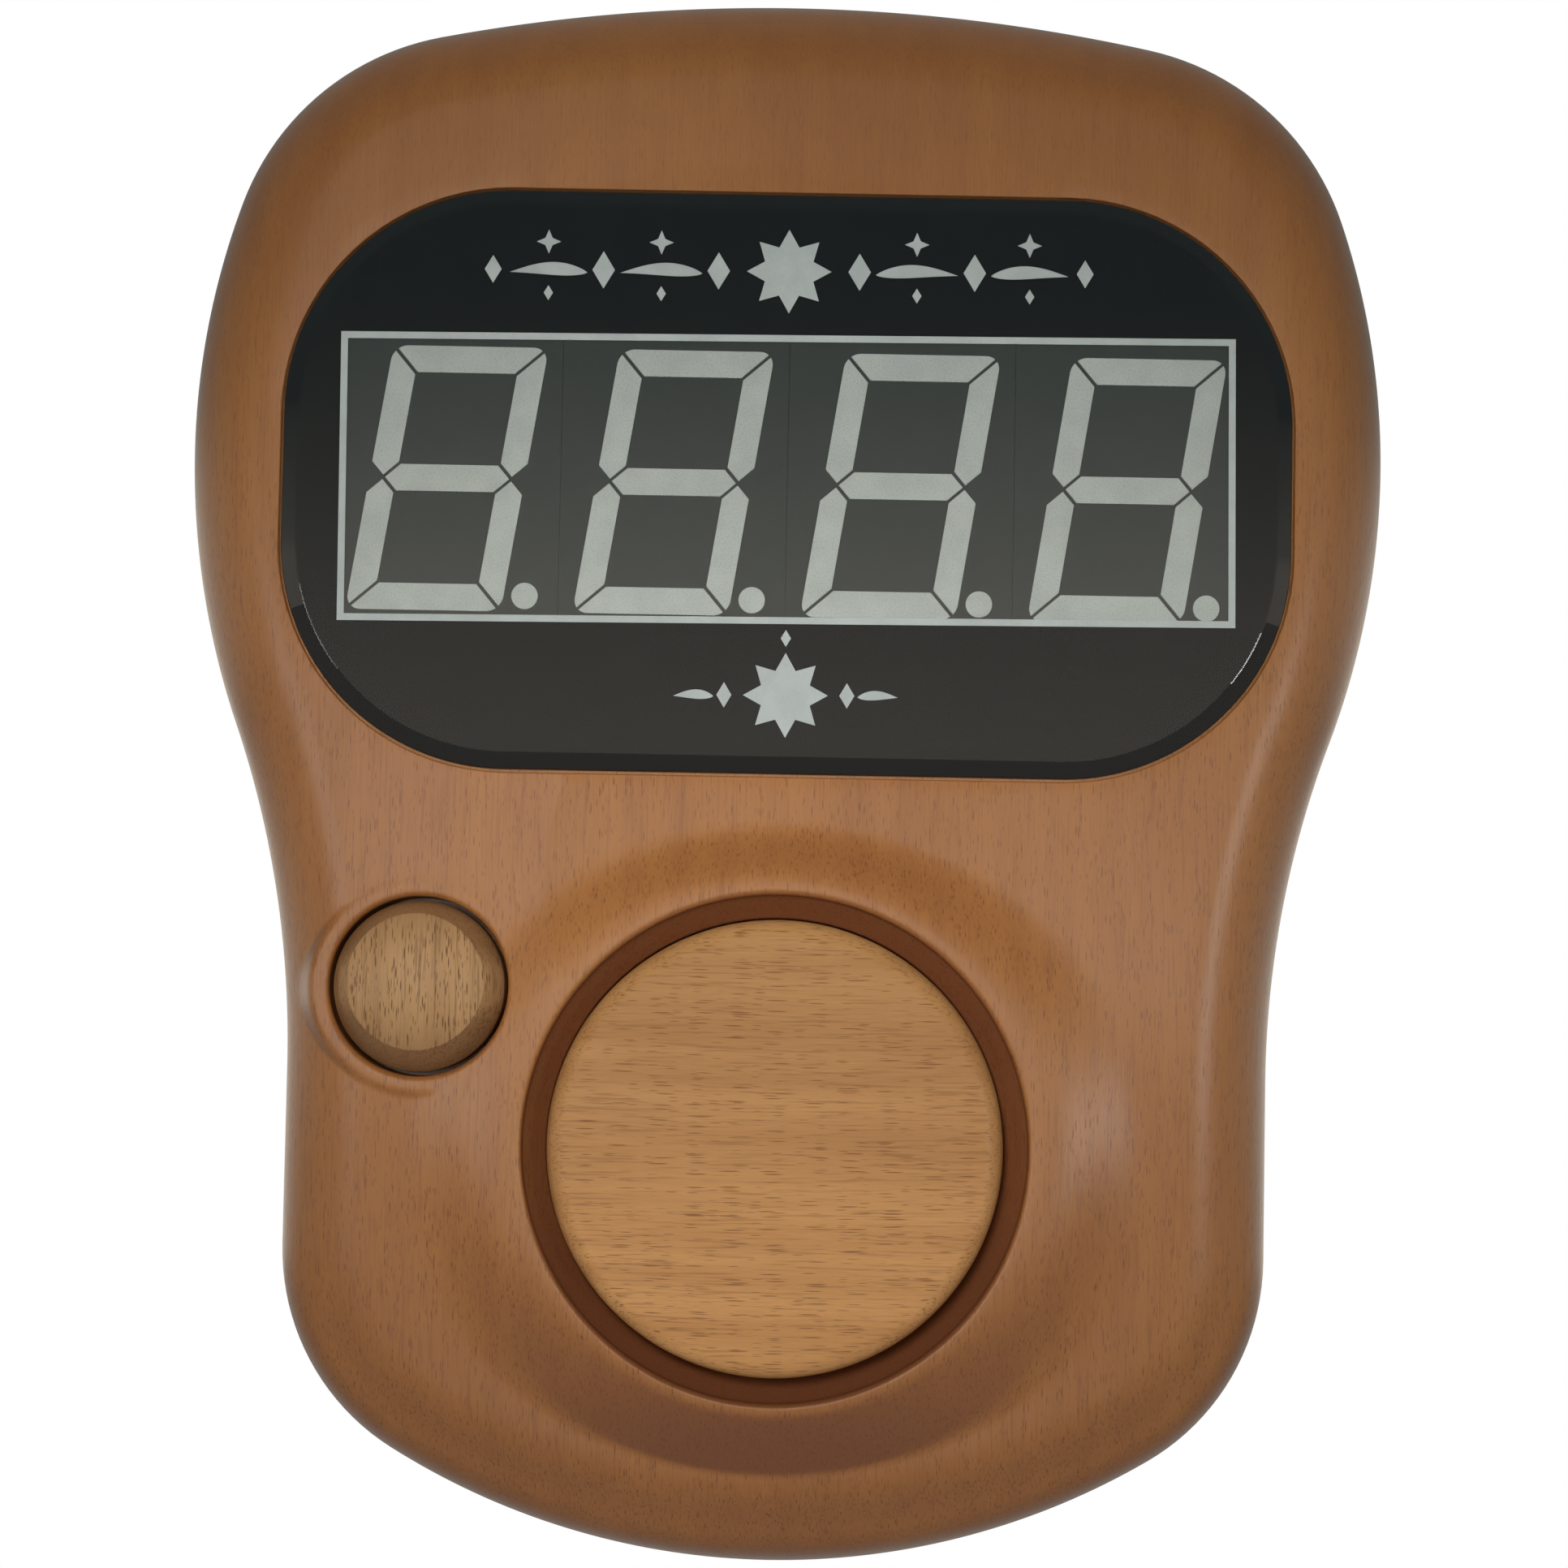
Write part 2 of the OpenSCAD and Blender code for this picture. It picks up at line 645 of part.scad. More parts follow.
module collar() {
    sunk = 0.3;
    steps = 6;
    slope = [
        for (i = [0 : steps])
            let (t = 1 - i / steps)
            collar_ring(t, case_t - sunk + (collar_h + sunk) * (1 - pow(t, 1.15)))
    ];
    loft(concat([collar_ring(1, case_t - 2 * collar_h)], slope));
}

// Eases the lip of a well
module lip_cut(at, r, top_z) {
    translate([at.x, at.y, top_z - lip_w - cut])
        cylinder(r1 = r - cut, r2 = r + lip_w + cut, h = lip_w + 2 * cut);
}

module rear_pocket_shape(inset, top) {
    intersection() {
        polygon(outline(inset));
        translate([-half_w, -case_h]) square([case_w, case_h + top]);
    }
}

module keyhole_shape(w_entry, w_slot) {
    translate([0, keyhole_foot]) circle(d = w_entry);
    translate([0, keyhole_foot + keyhole_rise]) circle(d = w_slot);
    translate([-w_slot / 2, keyhole_foot]) square([w_slot, keyhole_rise]);
}

module front_cuts() {
    translate([0, display_y, recess_z]) linear_extrude(case_t) pane(
        glass_w + 2 * glass_gap, glass_h + 2 * glass_gap, glass_r + glass_gap);
    opening = [display_w + 2 * opening_gap, module_h + 2 * opening_gap];
    block([0, display_y], opening, skin_z - cut, recess_z + cut);
    disc(count_c, well_r, well_z, case_t + collar_h + cut);
    disc(count_c, count_d / 2 + bore_gap, count_web_top, well_z + cut);
    lip_cut(count_c, well_r, case_t + collar_h);
    disc(reset_c, boss_r, case_t + boss_proud, case_t + boss_proud + collar_h + cut);
    disc(reset_c, reset_well_r, reset_web_top, case_t + boss_proud + cut);
    lip_cut(reset_c, reset_well_r, case_t + boss_proud);
}

module rear_cuts() {
    translate([0, 0, -cut]) linear_extrude(pocket_depth + cut)
        rear_pocket_shape(pocket_inset, pocket_top);
    translate([0, 0, -cut]) linear_extrude(cover_t + cut)
        rear_pocket_shape(rebate_inset, pocket_top + ledge_w);
    translate([0, display_y, cover_t]) linear_extrude(skin_z - cover_t)
        pane(board_w + 2 * board_gap, board_h + 2 * board_gap, board_gap);
    for (p = guide_at) disc(p, bush_r + snug, pocket_depth - cut, count_web_top + cut);
    disc(count_c, striker_d / 2 + striker_gap, pocket_depth - cut, count_web_top + cut);
    disc(reset_c, head_pocket_r, pocket_depth - cut, reset_web);
    disc(reset_c, bush_r + snug, reset_web - cut, reset_web_top + cut);
    for (p = hanger_at) translate([p.x, p.y, 0]) {
        translate([0, 0, -cut]) linear_extrude(hanger_t + cut)
            pane(hanger_w + 2 * hanger_gap, hanger_h + 2 * hanger_gap, hanger_corner_r + hanger_gap);
        linear_extrude(hanger_t + keyhole_depth) keyhole_shape(keyhole_space_w, keyhole_space_w);
    }
}

module screw_holes() {
    hole_r = screw_d / 2 + snug;
    for (p = standoff_at) disc(p, hole_r, skin_z - cut, skin_z + screw_bite + snug);
    for (p = concat(count_board_screw_at, reset_board_screw_at))
        disc(p, hole_r, pocket_depth - cut, pocket_depth + screw_bite + snug);
    for (p = cover_screw_at) disc(p, hole_r, cover_t - cut, cover_screw_len + snug);
    for (p = hanger_at, y = [-1, 1])
        disc(p + [0, y * hanger_screw_y], hole_r, hanger_t - cut, cover_screw_len + snug);
}

// The bore for the power socket, along the case's bottom edge
module socket_bore() {
    translate([0, socket_y, socket_z]) rotate([90, 0, 0]) {
        cylinder(r = socket_flange_d / 2 + snug, h = socket_seat + cut);
        translate([0, 0, -pocket_inset]) cylinder(r = socket_d / 2 + snug, h = pocket_inset + cut);
    }
}

module wood_case() {
    color("#8a5a35") on_wall() difference() {
        union() {
            case_blank();
            collar();
            disc(reset_c, boss_r, pocket_depth + boss_foot, case_t + boss_proud);
        }
        front_cuts();
        rear_cuts();
        screw_holes();
        socket_bore();
    }
}

module rear_cover() {
    color("#5d4630") on_wall() difference() {
        linear_extrude(cover_t) rear_pocket_shape(rebate_inset + cover_gap, pocket_top + ledge_w - cover_gap);
        for (p = cover_screw_at) {
            flat_screw(p, snug);
            disc(p, cover_screw_head_d / 2 + snug, -cut, head_sink);
        }
    }
}

module cover_screws() {
    color("#b9bcc0") on_wall() for (p = cover_screw_at) flat_screw(p, 0);
}

// Window
module display_glass() {
    color("#1b1d1e", 0.5) on_wall() translate([0, display_y, 0]) loft([
        lift(pane_outline(glass_w, glass_h, glass_r, 0, 12), glass_z),
        lift(pane_outline(glass_w, glass_h, glass_r, 0, 12), glass_z + glass_t - bevel_h),
        lift(pane_outline(glass_w, glass_h, glass_r, bevel_w, 12), glass_z + glass_t)
    ]);
}

module frame_area(inset) {
    translate([0, frame_rise]) square([frame_w - 2 * inset, frame_h - 2 * inset], center = true);
}

module window_mask() {
    color("#141514") on_wall() translate([0, display_y, mask_z]) linear_extrude(mask_t) difference() {
        pane(glass_w, glass_h, glass_r);
        frame_area(0);
    }
}

module frame_line() {
    color("#c9cdcc") on_wall() translate([0, display_y, mask_z]) linear_extrude(mask_t) difference() {
        frame_area(0);
        frame_area(frame_line_w);
    }
}

module glass_tape() {
    color("#202020") on_wall() translate([0, display_y, recess_z]) linear_extrude(tape_t) difference() {
        pane(glass_w - 2 * tape_margin, glass_h - 2 * tape_margin, glass_r - tape_margin);
        intersection() {
            square([display_w + 4 * opening_gap, module_h + 4 * opening_gap], center = true);
            pane(glass_w - 2 * tape_inset, glass_h - 2 * tape_inset, glass_r - tape_inset);
        }
    }
}

// Digits
module digit_shape(grow) {
    for (p = digit_polygons(grow)) polygon(lean(p));
    translate([dot_x, dot_rise - digit_h / 2]) circle(d = dot_d + 2 * grow);
}

module digit_module(i) {
    color("#3b3d3a") on_wall() translate([module_x(i), display_y, 0]) difference() {
        block([0, 0], [module_w, module_h], board_front, recess_z);
        translate([0, 0, recess_z + segment_proud - segment_t]) linear_extrude(segment_t) digit_shape(snug);
    }
}

module digit_segments(i) {
    color("#b9bdba") on_wall() translate([module_x(i), display_y, recess_z + segment_proud - segment_t])
        linear_extrude(segment_t) digit_shape(0);
}

function pin_at(i) = [
    for (row = [-1, 1], k = [0 : pins_per_row - 1])
        [module_x(i) + (k - (pins_per_row - 1) / 2) * pin_pitch, display_y + row * pin_row / 2]
];

module module_pins() {
    color("#c8c8c0") on_wall() for (i = [0 : digit_count - 1], p = pin_at(i))
        disc(p, pin_d / 2, board_front - pin_len, board_front);
}

// Display board
module display_board() {
    color("#2f6b3f") on_wall() difference() {
        translate([0, display_y, board_back]) linear_extrude(board_t) pane(board_w, board_h, 3);
        for (p = standoff_at) disc(p, screw_d / 2 + snug, board_back - cut, board_front + cut);
        for (i = [0 : digit_count - 1], p = pin_at(i))
            disc(p, pin_hole_d / 2, board_back - cut, board_front + cut);
    }
}

module board_standoffs() color("#c9a95a") on_wall() spacers(standoff_at, board_front, skin_z);

module board_screws() {
    color("#b9bcc0") on_wall() for (p = standoff_at) pan_screw(p, board_back, skin_z + screw_bite);
}

module microcontroller() {
    color("#222222") on_wall()
        block([controller_x, display_y], controller_size, board_back - chip_z, board_back);
}

module driver_chips() {
    color("#222222") on_wall() for (x = driver_x)
        block([x, display_y], driver_size, board_back - chip_z, board_back);
}

module capacitors() {
    color("#2a2f55") on_wall() for (y = [-1, 1])
        disc([capacitor_x, display_y + y * capacitor_rise], capacitor_d / 2,
             board_back - capacitor_h, board_back);
}

module wire_headers() {
    turned = [side_header_size.y, side_header_size.x];
    color("#e8e4d8") on_wall() {
        for (x = header_x) block([x, header_row_y], header_size, board_back - header_size.z, board_back);
        block(count_header_c, side_header_size, count_board_top, count_board_top + side_header_size.z);
        block(reset_header_c, turned, reset_board_top, reset_board_top + side_header_size.z);
    }
}

// Count button
module count_button() {
    r = count_d / 2;
    h = count_top - count_under;
    e = count_edge_r;
    color("#b98a5c") on_wall() difference() {
        translate([count_c.x, count_c.y, count_under]) rotate_extrude() {
            square([r - e, h]);
            square([r, h - e]);
            translate([r - e, h - e]) intersection() {
                circle(e);
                square(e);
            }
        }
        for (p = guide_at) guide_room(p, count_under);
        disc(count_c, striker_d / 2 + snug, count_under - cut, count_under + striker_peg);
    }
}

module count_guide_screws() {
    color("#a9adb2") on_wall() for (p = guide_at) guide_screw(p, pocket_depth, count_under + spring_seat);
}

module count_striker() {
    color("#e6e3da") on_wall() {
        disc(count_c, striker_d / 2, striker_end, count_under + striker_peg - snug);
        disc(count_c, striker_flange_r, count_under - striker_flange_t, count_under);
    }
}

module count_springs() {
    color("#9a9da1") on_wall() for (p = guide_at) spring(p, count_web_top, count_under + spring_seat);
}

module bush(at, z0, z1) {
    difference() {
        disc(at, bush_r, z0, z1);
        disc(at, guide_d / 2 + guide_fit, z0 - cut, z1 + cut);
    }
}

module guide_bushes() {
    color("#c9a95a") on_wall() {
        for (p = guide_at) bush(p, pocket_depth, count_web_top);
        bush(reset_c, reset_web, reset_web_top);
    }
}

module count_switch() {
    color("#2b2b2b") on_wall()
        push_switch(count_c, count_board_top, count_switch_top, count_plunger_top, count_travel);
}

module count_switch_plunger() {
    color("#d8d8d4") on_wall()
        disc(count_c, plunger_d / 2, count_switch_top - plunger_held, count_plunger_top);
}

module count_board() {
    color("#2f6b3f") on_wall()
        small_board(count_c, count_board_w, count_board_h, count_board_z, count_board_screw_at);
}

module count_board_spacers() {
    color("#e6e3da") on_wall() spacers(count_board_screw_at, count_board_top, pocket_depth);
}

module count_board_screws() {
    color("#b9bcc0") on_wall()
        for (p = count_board_screw_at) pan_screw(p, count_board_z, pocket_depth + screw_bite);
}

// Reset button
module reset_button() {
    r = reset_d / 2;
    h = reset_top - reset_under;
    c = reset_chamfer;
    color("#c29a68") on_wall() difference() {
        translate([reset_c.x, reset_c.y, reset_under]) rotate_extrude()
            polygon([[0, 0], [r, 0], [r, h - reset_chamfer_h], [r - c, h], [0, h]]);
        guide_room(reset_c, reset_under);
    }
}

module reset_guide_screw() {
    color("#a9adb2") on_wall() guide_screw(reset_c, reset_web, reset_under + spring_seat);
}

module reset_spring() color("#9a9da1") on_wall() spring(reset_c, reset_web_top, reset_under + spring_seat);

module reset_switch() {
    color("#2b2b2b") on_wall()
        push_switch(reset_c, reset_board_top, reset_switch_top, reset_plunger_top, reset_travel);
}

module reset_switch_plunger() {
    color("#d8d8d4") on_wall()
        disc(reset_c, plunger_d / 2, reset_switch_top - plunger_held, reset_plunger_top);
}

module reset_board() {
    color("#2f6b3f") on_wall()
        small_board(reset_board_c, reset_board_w, reset_board_h, reset_board_z, reset_board_screw_at);
}

module reset_board_spacers() {
    color("#e6e3da") on_wall() spacers(reset_board_screw_at, reset_board_top, pocket_depth);
}

module reset_board_screws() {
    color("#b9bcc0") on_wall()
        for (p = reset_board_screw_at) pan_screw(p, reset_board_z, pocket_depth + screw_bite);
}

// Power socket, its axis along the case's height
module on_socket_axis() translate([0, socket_y, socket_z]) rotate([-90, 0, 0]) children();

module power_socket() {
    color("#1f1f20") on_wall() on_socket_axis() difference() {
        union() {
            translate([0, 0, -socket_flange_t]) cylinder(r = socket_flange_d / 2, h = socket_flange_t);
            cylinder(r = socket_d / 2, h = socket_len);
        }
        translate([0, 0, -socket_flange_t - cut])
            cylinder(r = socket_hole_d / 2, h = socket_hole_depth + cut);
    }
}

module power_socket_pin() {
    color("#c8c8c0") on_wall() on_socket_axis() translate([0, 0, -socket_flange_t + 1])
        cylinder(r = socket_pin_d / 2, h = socket_hole_depth - 1);
}

module power_socket_nut() {
    color("#b9bcc0") on_wall() translate([0, socket_nut_y, socket_z]) rotate([-90, 0, 0]) difference() {
        cylinder(d = socket_nut_d, h = socket_nut_t, $fn = 6);
        translate([0, 0, -cut]) cylinder(r = socket_d / 2 + snug, h = socket_nut_t + 2 * cut);
    }
}

// Hangers
module hanger_plates() {
    color("#b0b3b8") on_wall() for (p = hanger_at) difference() {
        translate([p.x, p.y, 0]) linear_extrude(hanger_t) pane(hanger_w, hanger_h, hanger_corner_r);
        translate([p.x, p.y + keyhole_foot, -cut]) cylinder(d = keyhole_d, h = hanger_t + 2 * cut);
        translate([p.x, p.y, -cut]) linear_extrude(hanger_t + 2 * cut)
            keyhole_shape(keyhole_slot_w, keyhole_slot_w);
        for (y = [-1, 1]) {
            flat_screw(p + [0, y * hanger_screw_y], snug);
            disc(p + [0, y * hanger_screw_y], cover_screw_head_d / 2 + snug, -cut, head_sink);
        }
    }
}

module hanger_screws() {
    color("#b9bcc0") on_wall() for (p = hanger_at, y = [-1, 1]) flat_screw(p + [0, y * hanger_screw_y], 0);
}

// Cables
module cable(route) {
    color("#303236") on_wall() tube(smooth_route(route), cable_d / 2, cable_sides, [1, 0.35, 0.2]);
}

module count_cable() cable(count_route);

module reset_cable() cable(reset_route);

module power_cable() cable(power_route);

wood_case();
rear_cover();
cover_screws();
display_glass();
window_mask();
frame_line();
glass_tape();
digit_module(0);  // digit_module_1
digit_module(1);  // digit_module_2
digit_module(2);  // digit_module_3
digit_module(3);  // digit_module_4
digit_segments(0);  // digit_segments_1
digit_segments(1);  // digit_segments_2
digit_segments(2);  // digit_segments_3
digit_segments(3);  // digit_segments_4
module_pins();
display_board();
board_standoffs();
board_screws();
microcontroller();
driver_chips();
capacitors();
wire_headers();
count_button();
count_guide_screws();
count_striker();
count_springs();
guide_bushes();
count_switch();
count_switch_plunger();
count_board();
count_board_spacers();
count_board_screws();
reset_button();
reset_guide_screw();
reset_spring();
reset_switch();
reset_switch_plunger();
reset_board();
reset_board_spacers();
reset_board_screws();
power_socket();
power_socket_pin();
power_socket_nut();
hanger_plates();
hanger_screws();
count_cable();
reset_cable();
power_cable();
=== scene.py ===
"""Looks of the wall-hung digital counter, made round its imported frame.

Shapes are worked out in millimetres as seen on the wall (x right, y up, z out of the wall).
Shell.build() turns them into the frame's metres: +Z up, the front facing -Y, the wall at Y = 0.
"""

import math

import bmesh
import bpy
import numpy as np
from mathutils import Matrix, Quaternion, Vector, geometry, kdtree

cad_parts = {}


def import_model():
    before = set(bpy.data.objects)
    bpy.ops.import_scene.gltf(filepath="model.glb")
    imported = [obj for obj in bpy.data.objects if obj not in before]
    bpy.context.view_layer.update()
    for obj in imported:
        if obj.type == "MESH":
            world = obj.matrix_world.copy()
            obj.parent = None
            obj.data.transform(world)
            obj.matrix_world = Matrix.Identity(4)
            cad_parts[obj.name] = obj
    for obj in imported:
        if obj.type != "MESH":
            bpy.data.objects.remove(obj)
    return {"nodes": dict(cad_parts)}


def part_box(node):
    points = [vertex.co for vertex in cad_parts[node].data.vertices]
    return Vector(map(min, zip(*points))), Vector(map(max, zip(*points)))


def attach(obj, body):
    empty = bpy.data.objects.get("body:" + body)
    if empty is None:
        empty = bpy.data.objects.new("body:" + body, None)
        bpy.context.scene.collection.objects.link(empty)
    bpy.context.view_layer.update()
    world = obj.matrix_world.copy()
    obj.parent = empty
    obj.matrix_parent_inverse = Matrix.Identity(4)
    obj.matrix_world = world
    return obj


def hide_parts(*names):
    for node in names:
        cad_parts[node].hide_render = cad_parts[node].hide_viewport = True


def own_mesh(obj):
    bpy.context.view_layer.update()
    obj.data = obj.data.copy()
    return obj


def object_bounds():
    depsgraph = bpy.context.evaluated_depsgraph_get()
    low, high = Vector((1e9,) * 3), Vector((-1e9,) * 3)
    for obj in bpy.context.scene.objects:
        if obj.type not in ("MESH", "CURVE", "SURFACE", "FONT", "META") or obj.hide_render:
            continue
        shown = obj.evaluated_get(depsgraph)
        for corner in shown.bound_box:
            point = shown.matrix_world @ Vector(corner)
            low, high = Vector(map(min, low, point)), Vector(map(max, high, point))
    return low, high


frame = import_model()
CAD_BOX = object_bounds()
MM = 0.001
# Points of a mesh that are closer than this are one: in the shells made here, in the frame's nodes
WELD = 2e-6
NODE_WELD = 1e-6


def wall_box(node):
    """A node's lowest and highest corners in millimetres, as seen on the wall."""
    low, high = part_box(node)
    return np.array((low.x, low.z, -high.y)) / MM, np.array((high.x, high.z, -low.y)) / MM


# Case outline: half sizes from the frame, the arcs as the case is drawn
HALF_W, HALF_H, RIM_Z = wall_box("wood_case")[1]
LOWER_HALF_W = 105.0
WIDEST_Y = 68.5
TOP_R = 382.0
SHOULDER_R = 57.0
UPPER_SIDE_R = 166.0
LOWER_SIDE_R = 174.0
WAIST_R = 213.0
CHIN_R = 157.0
CORNER_R = 50.0

# Case section
FRONT_Z = 40.0
FRONT_EDGE_R = 19.0
BACK_EDGE_R = 2.0
SHEET_INSET = 2.0
POCKET_INSET = 22.0
POCKET_TOP = 111.0
POCKET_Z = 16.0
LEDGE_W = 7.0
COVER_T = wall_box("rear_cover")[1][2]

# Window
GLASS_LOW, GLASS_HIGH = wall_box("display_glass")
GLASS_W, GLASS_H = (GLASS_HIGH - GLASS_LOW)[:2]
GLASS_C = (GLASS_HIGH + GLASS_LOW)[:2] / 2
GLASS_R = 48.0
GLASS_GAP = 0.6
WINDOW_LIP = 0.3
BEVEL_W = 3.3
BEVEL_H = 2.4
RECESS_Z = wall_box("glass_tape")[0][2]
MASK_Z = wall_box("window_mask")[0][2]
MASK_INSET = 0.3
PRINT_SINK = 0.05
FRAME_LOW, FRAME_HIGH = wall_box("frame_line")
FRAME_LINE = 1.45
FRAME_TRIM = 0.15
PRINT_TURN = 0.55
SKIN_Z = 31.0
OPENING = (193.45, 71.0)
BOARD_POCKET = (198.0, 94.0, 2.0)

# Count button and its well
COUNT_LOW, COUNT_HIGH = wall_box("count_button")
COUNT_C = (COUNT_LOW + COUNT_HIGH)[:2] / 2
COUNT_R = (COUNT_HIGH - COUNT_LOW)[0] / 2
COUNT_EDGE_R = 4.0
WELL_R = COUNT_R + 5.25
WELL_STEP_Z = RIM_Z - 9.0
BORE_R = COUNT_R + 0.6
WELL_Z = 22.0
LIP = 1.2
RIM_R = WELL_R + LIP + 0.8
WELL_WALL_Z = RIM_Z - 1.5 * LIP
COLLAR_SIDE = 25.0
COLLAR_END = 13.5
# The collar turns from soft to crisp between these sines of the angle below its middle
COLLAR_CRISP = (0.3, 0.85)
COLLAR_POWER = 1.1
CHIN_SAG = 3.2
SAG_HEIGHTS = (-40, -140)
SAG_EDGE = (2, 10)
GUIDE_R = 32.0
GUIDES = [COUNT_C + GUIDE_R * np.array((math.cos(a), math.sin(a))) for a in np.radians((30, 150, 270))]
BUSH_R = 4.6
STRIKER_HOLE_R = 5.0

# Reset button, its well and the boss round it
RESET_LOW, RESET_HIGH = wall_box("reset_button")
RESET_C = (RESET_LOW + RESET_HIGH)[:2] / 2
RESET_R = (RESET_HIGH - RESET_LOW)[0] / 2
RESET_CHAMFER = 3.6
RESET_CHAMFER_DROP = 5.5
RESET_TOP_SHIFT = (-0.4, 0.9)
RESET_WELL_R = RESET_R + 0.9
RESET_WELL_Z = 26.0
RESET_WEB_Z = 20.0
HEAD_POCKET_R = 7.0
BOSS_Z = 39.85
BOSS_FLAT_R = 21.6
BOSS_EDGE_R = 2.0
BOSS_SLOPE = 2.2
BOSS_BLEND = 0.7

# Rooms in the undersides of the buttons, as radius and depth of each step
GUIDE_ROOM = ((6.25, 5.0), (2.55, 14.05))
STRIKER_ROOM = ((4.05, 6.0),)

# Corners of the round loops
WELL_SIDES = 240
COUNT_SIDES = 200
RESET_SIDES = 120
BORE_SIDES = 48
SCREW_SIDES = 40
# Steps of the rounded corners of the pane and of its recess
PANE_STEPS = 32
RECESS_STEPS = 20

# Hangers and power socket
HANGERS = [(-60.0, 141.0), (60.0, 141.0)]
HANGER_RECESS = (16.4, 36.4, 2.2)
HANGER_T = 2.0
HANGER_SPACE = (12.0, 22.0, 6.0)
HANGER_SPACE_Z = 11.0
SOCKET_Z = 9.5
SOCKET_SEAT = 2.6
SOCKET_SEAT_R = 6.55
SOCKET_BORE_R = 4.55
SOCKET_PATCH = 14.0


# Plane geometry
def heading(a, b):
    """Angle of the way from one point to another, in degrees."""
    return math.degrees(math.atan2(b[1] - a[1], b[0] - a[0]))


def meet(c1, r1, c2, r2):
    """The right-hand crossing of two circles."""
    c1, c2 = np.array(c1), np.array(c2)
    gap = np.linalg.norm(c2 - c1)
    ahead = (r1 * r1 - r2 * r2 + gap * gap) / (2 * gap)
    aside = math.sqrt(r1 * r1 - ahead * ahead)
    u = (c2 - c1) / gap
    return c1 + ahead * u + aside * np.array((u[1], -u[0]))


TOP_C = (0.0, HALF_H - TOP_R)
SIDE_C = (HALF_W - UPPER_SIDE_R, WIDEST_Y)
SHOULDER_C = meet(TOP_C, TOP_R - SHOULDER_R, SIDE_C, UPPER_SIDE_R - SHOULDER_R)
FLANK_C = (HALF_W - LOWER_SIDE_R, WIDEST_Y)
WAIST_X = LOWER_HALF_W + WAIST_R
WAIST_C = (WAIST_X, WIDEST_Y - math.sqrt((LOWER_SIDE_R + WAIST_R) ** 2 - (WAIST_X - FLANK_C[0]) ** 2))
CHIN_C = (0.0, CHIN_R - HALF_H)
CORNER_X = LOWER_HALF_W - CORNER_R
CORNER_C = (CORNER_X, CHIN_C[1] - math.sqrt((CHIN_R - CORNER_R) ** 2 - CORNER_X ** 2))
TOP_A = heading(TOP_C, SHOULDER_C)
SIDE_A = heading(SIDE_C, SHOULDER_C)
FLANK_A = heading(FLANK_C, WAIST_C)
CHIN_A = heading(CHIN_C, CORNER_C)
# Arcs of the right half, from the top down: centre, radius, first and last angle, -1 for the hollow one
ARCS = [
    (TOP_C, TOP_R, 90, TOP_A, 1),
    (SHOULDER_C, SHOULDER_R, TOP_A, SIDE_A, 1),
    (SIDE_C, UPPER_SIDE_R, SIDE_A, 0, 1),
    (FLANK_C, LOWER_SIDE_R, 0, FLANK_A, 1),
    (WAIST_C, WAIST_R, FLANK_A + 180, 180, -1),
    (CORNER_C, CORNER_R, 0, CHIN_A, 1),
    (CHIN_C, CHIN_R, CHIN_A, -90, 1),
]
OUTLINE_STEP = 2.6


def outline(inset):
    """The case's outline moved in by a distance, clockwise from the middle of its top."""
    right = []
    for centre, r, a0, a1, sign in ARCS:
        count = math.ceil(abs(math.radians(a1 - a0)) * r / OUTLINE_STEP)
        a = np.radians(a0 + (a1 - a0) * np.arange(count) / count)
        if centre is CORNER_C:
            count = math.ceil((WAIST_C[1] - CORNER_C[1]) / OUTLINE_STEP)
            drop = (WAIST_C[1] - CORNER_C[1]) * np.arange(count) / count
            right.append(np.column_stack((np.full(count, LOWER_HALF_W - inset), WAIST_C[1] - drop)))
        right.append(np.array(centre) + (r - sign * inset) * np.column_stack((np.cos(a), np.sin(a))))
    right = np.vstack(right + [[(0.0, inset - HALF_H)]])
    return np.vstack((right, right[-2:0:-1] * (-1, 1)))


def edge_distance(p):
    """Distance of points inside the case from its outline."""
    x, y = abs(p[:, 0]), p[:, 1]
    slack = 0.01
    best = np.full(len(p), np.inf)
    for centre, r, a0, a1, sign in ARCS:
        dx, dy = x - centre[0], y - centre[1]
        angle = np.degrees(np.arctan2(dy, dx))
        within = (angle <= max(a0, a1) + slack) & (angle >= min(a0, a1) - slack)
        best = np.where(within, np.minimum(best, sign * (r - np.hypot(dx, dy))), best)
    straight = (y <= WAIST_C[1]) & (y >= CORNER_C[1])
    return np.where(straight, np.minimum(best, LOWER_HALF_W - x), best)


def circle(centre, r, count=32):
    """Clockwise points on a circle."""
    a = -2 * np.pi * np.arange(count) / count
    return np.array(centre) + r * np.column_stack((np.cos(a), np.sin(a)))


def rectangle(centre, w, h):
    """Clockwise corners of a rectangle."""
    return np.array(centre) + np.array([(w, h), (w, -h), (-w, -h), (-w, h)]) / 2


def pane(centre, w, h, r, inset=0.0, *, count):
    """Clockwise outline of a rounded rectangle moved in by a distance. count is the steps of a corner."""
    points = []
    for sx, sy, first in ((1, 1, 90), (1, -1, 0), (-1, -1, -90), (-1, 1, -180)):
        a = np.radians(first - 90 * np.arange(count + 1) / count)
        corner = np.array((sx * (w / 2 - r), sy * (h / 2 - r)))
        points.append(corner + (r - inset) * np.column_stack((np.cos(a), np.sin(a))))
    return np.array(centre) + np.vstack(points)


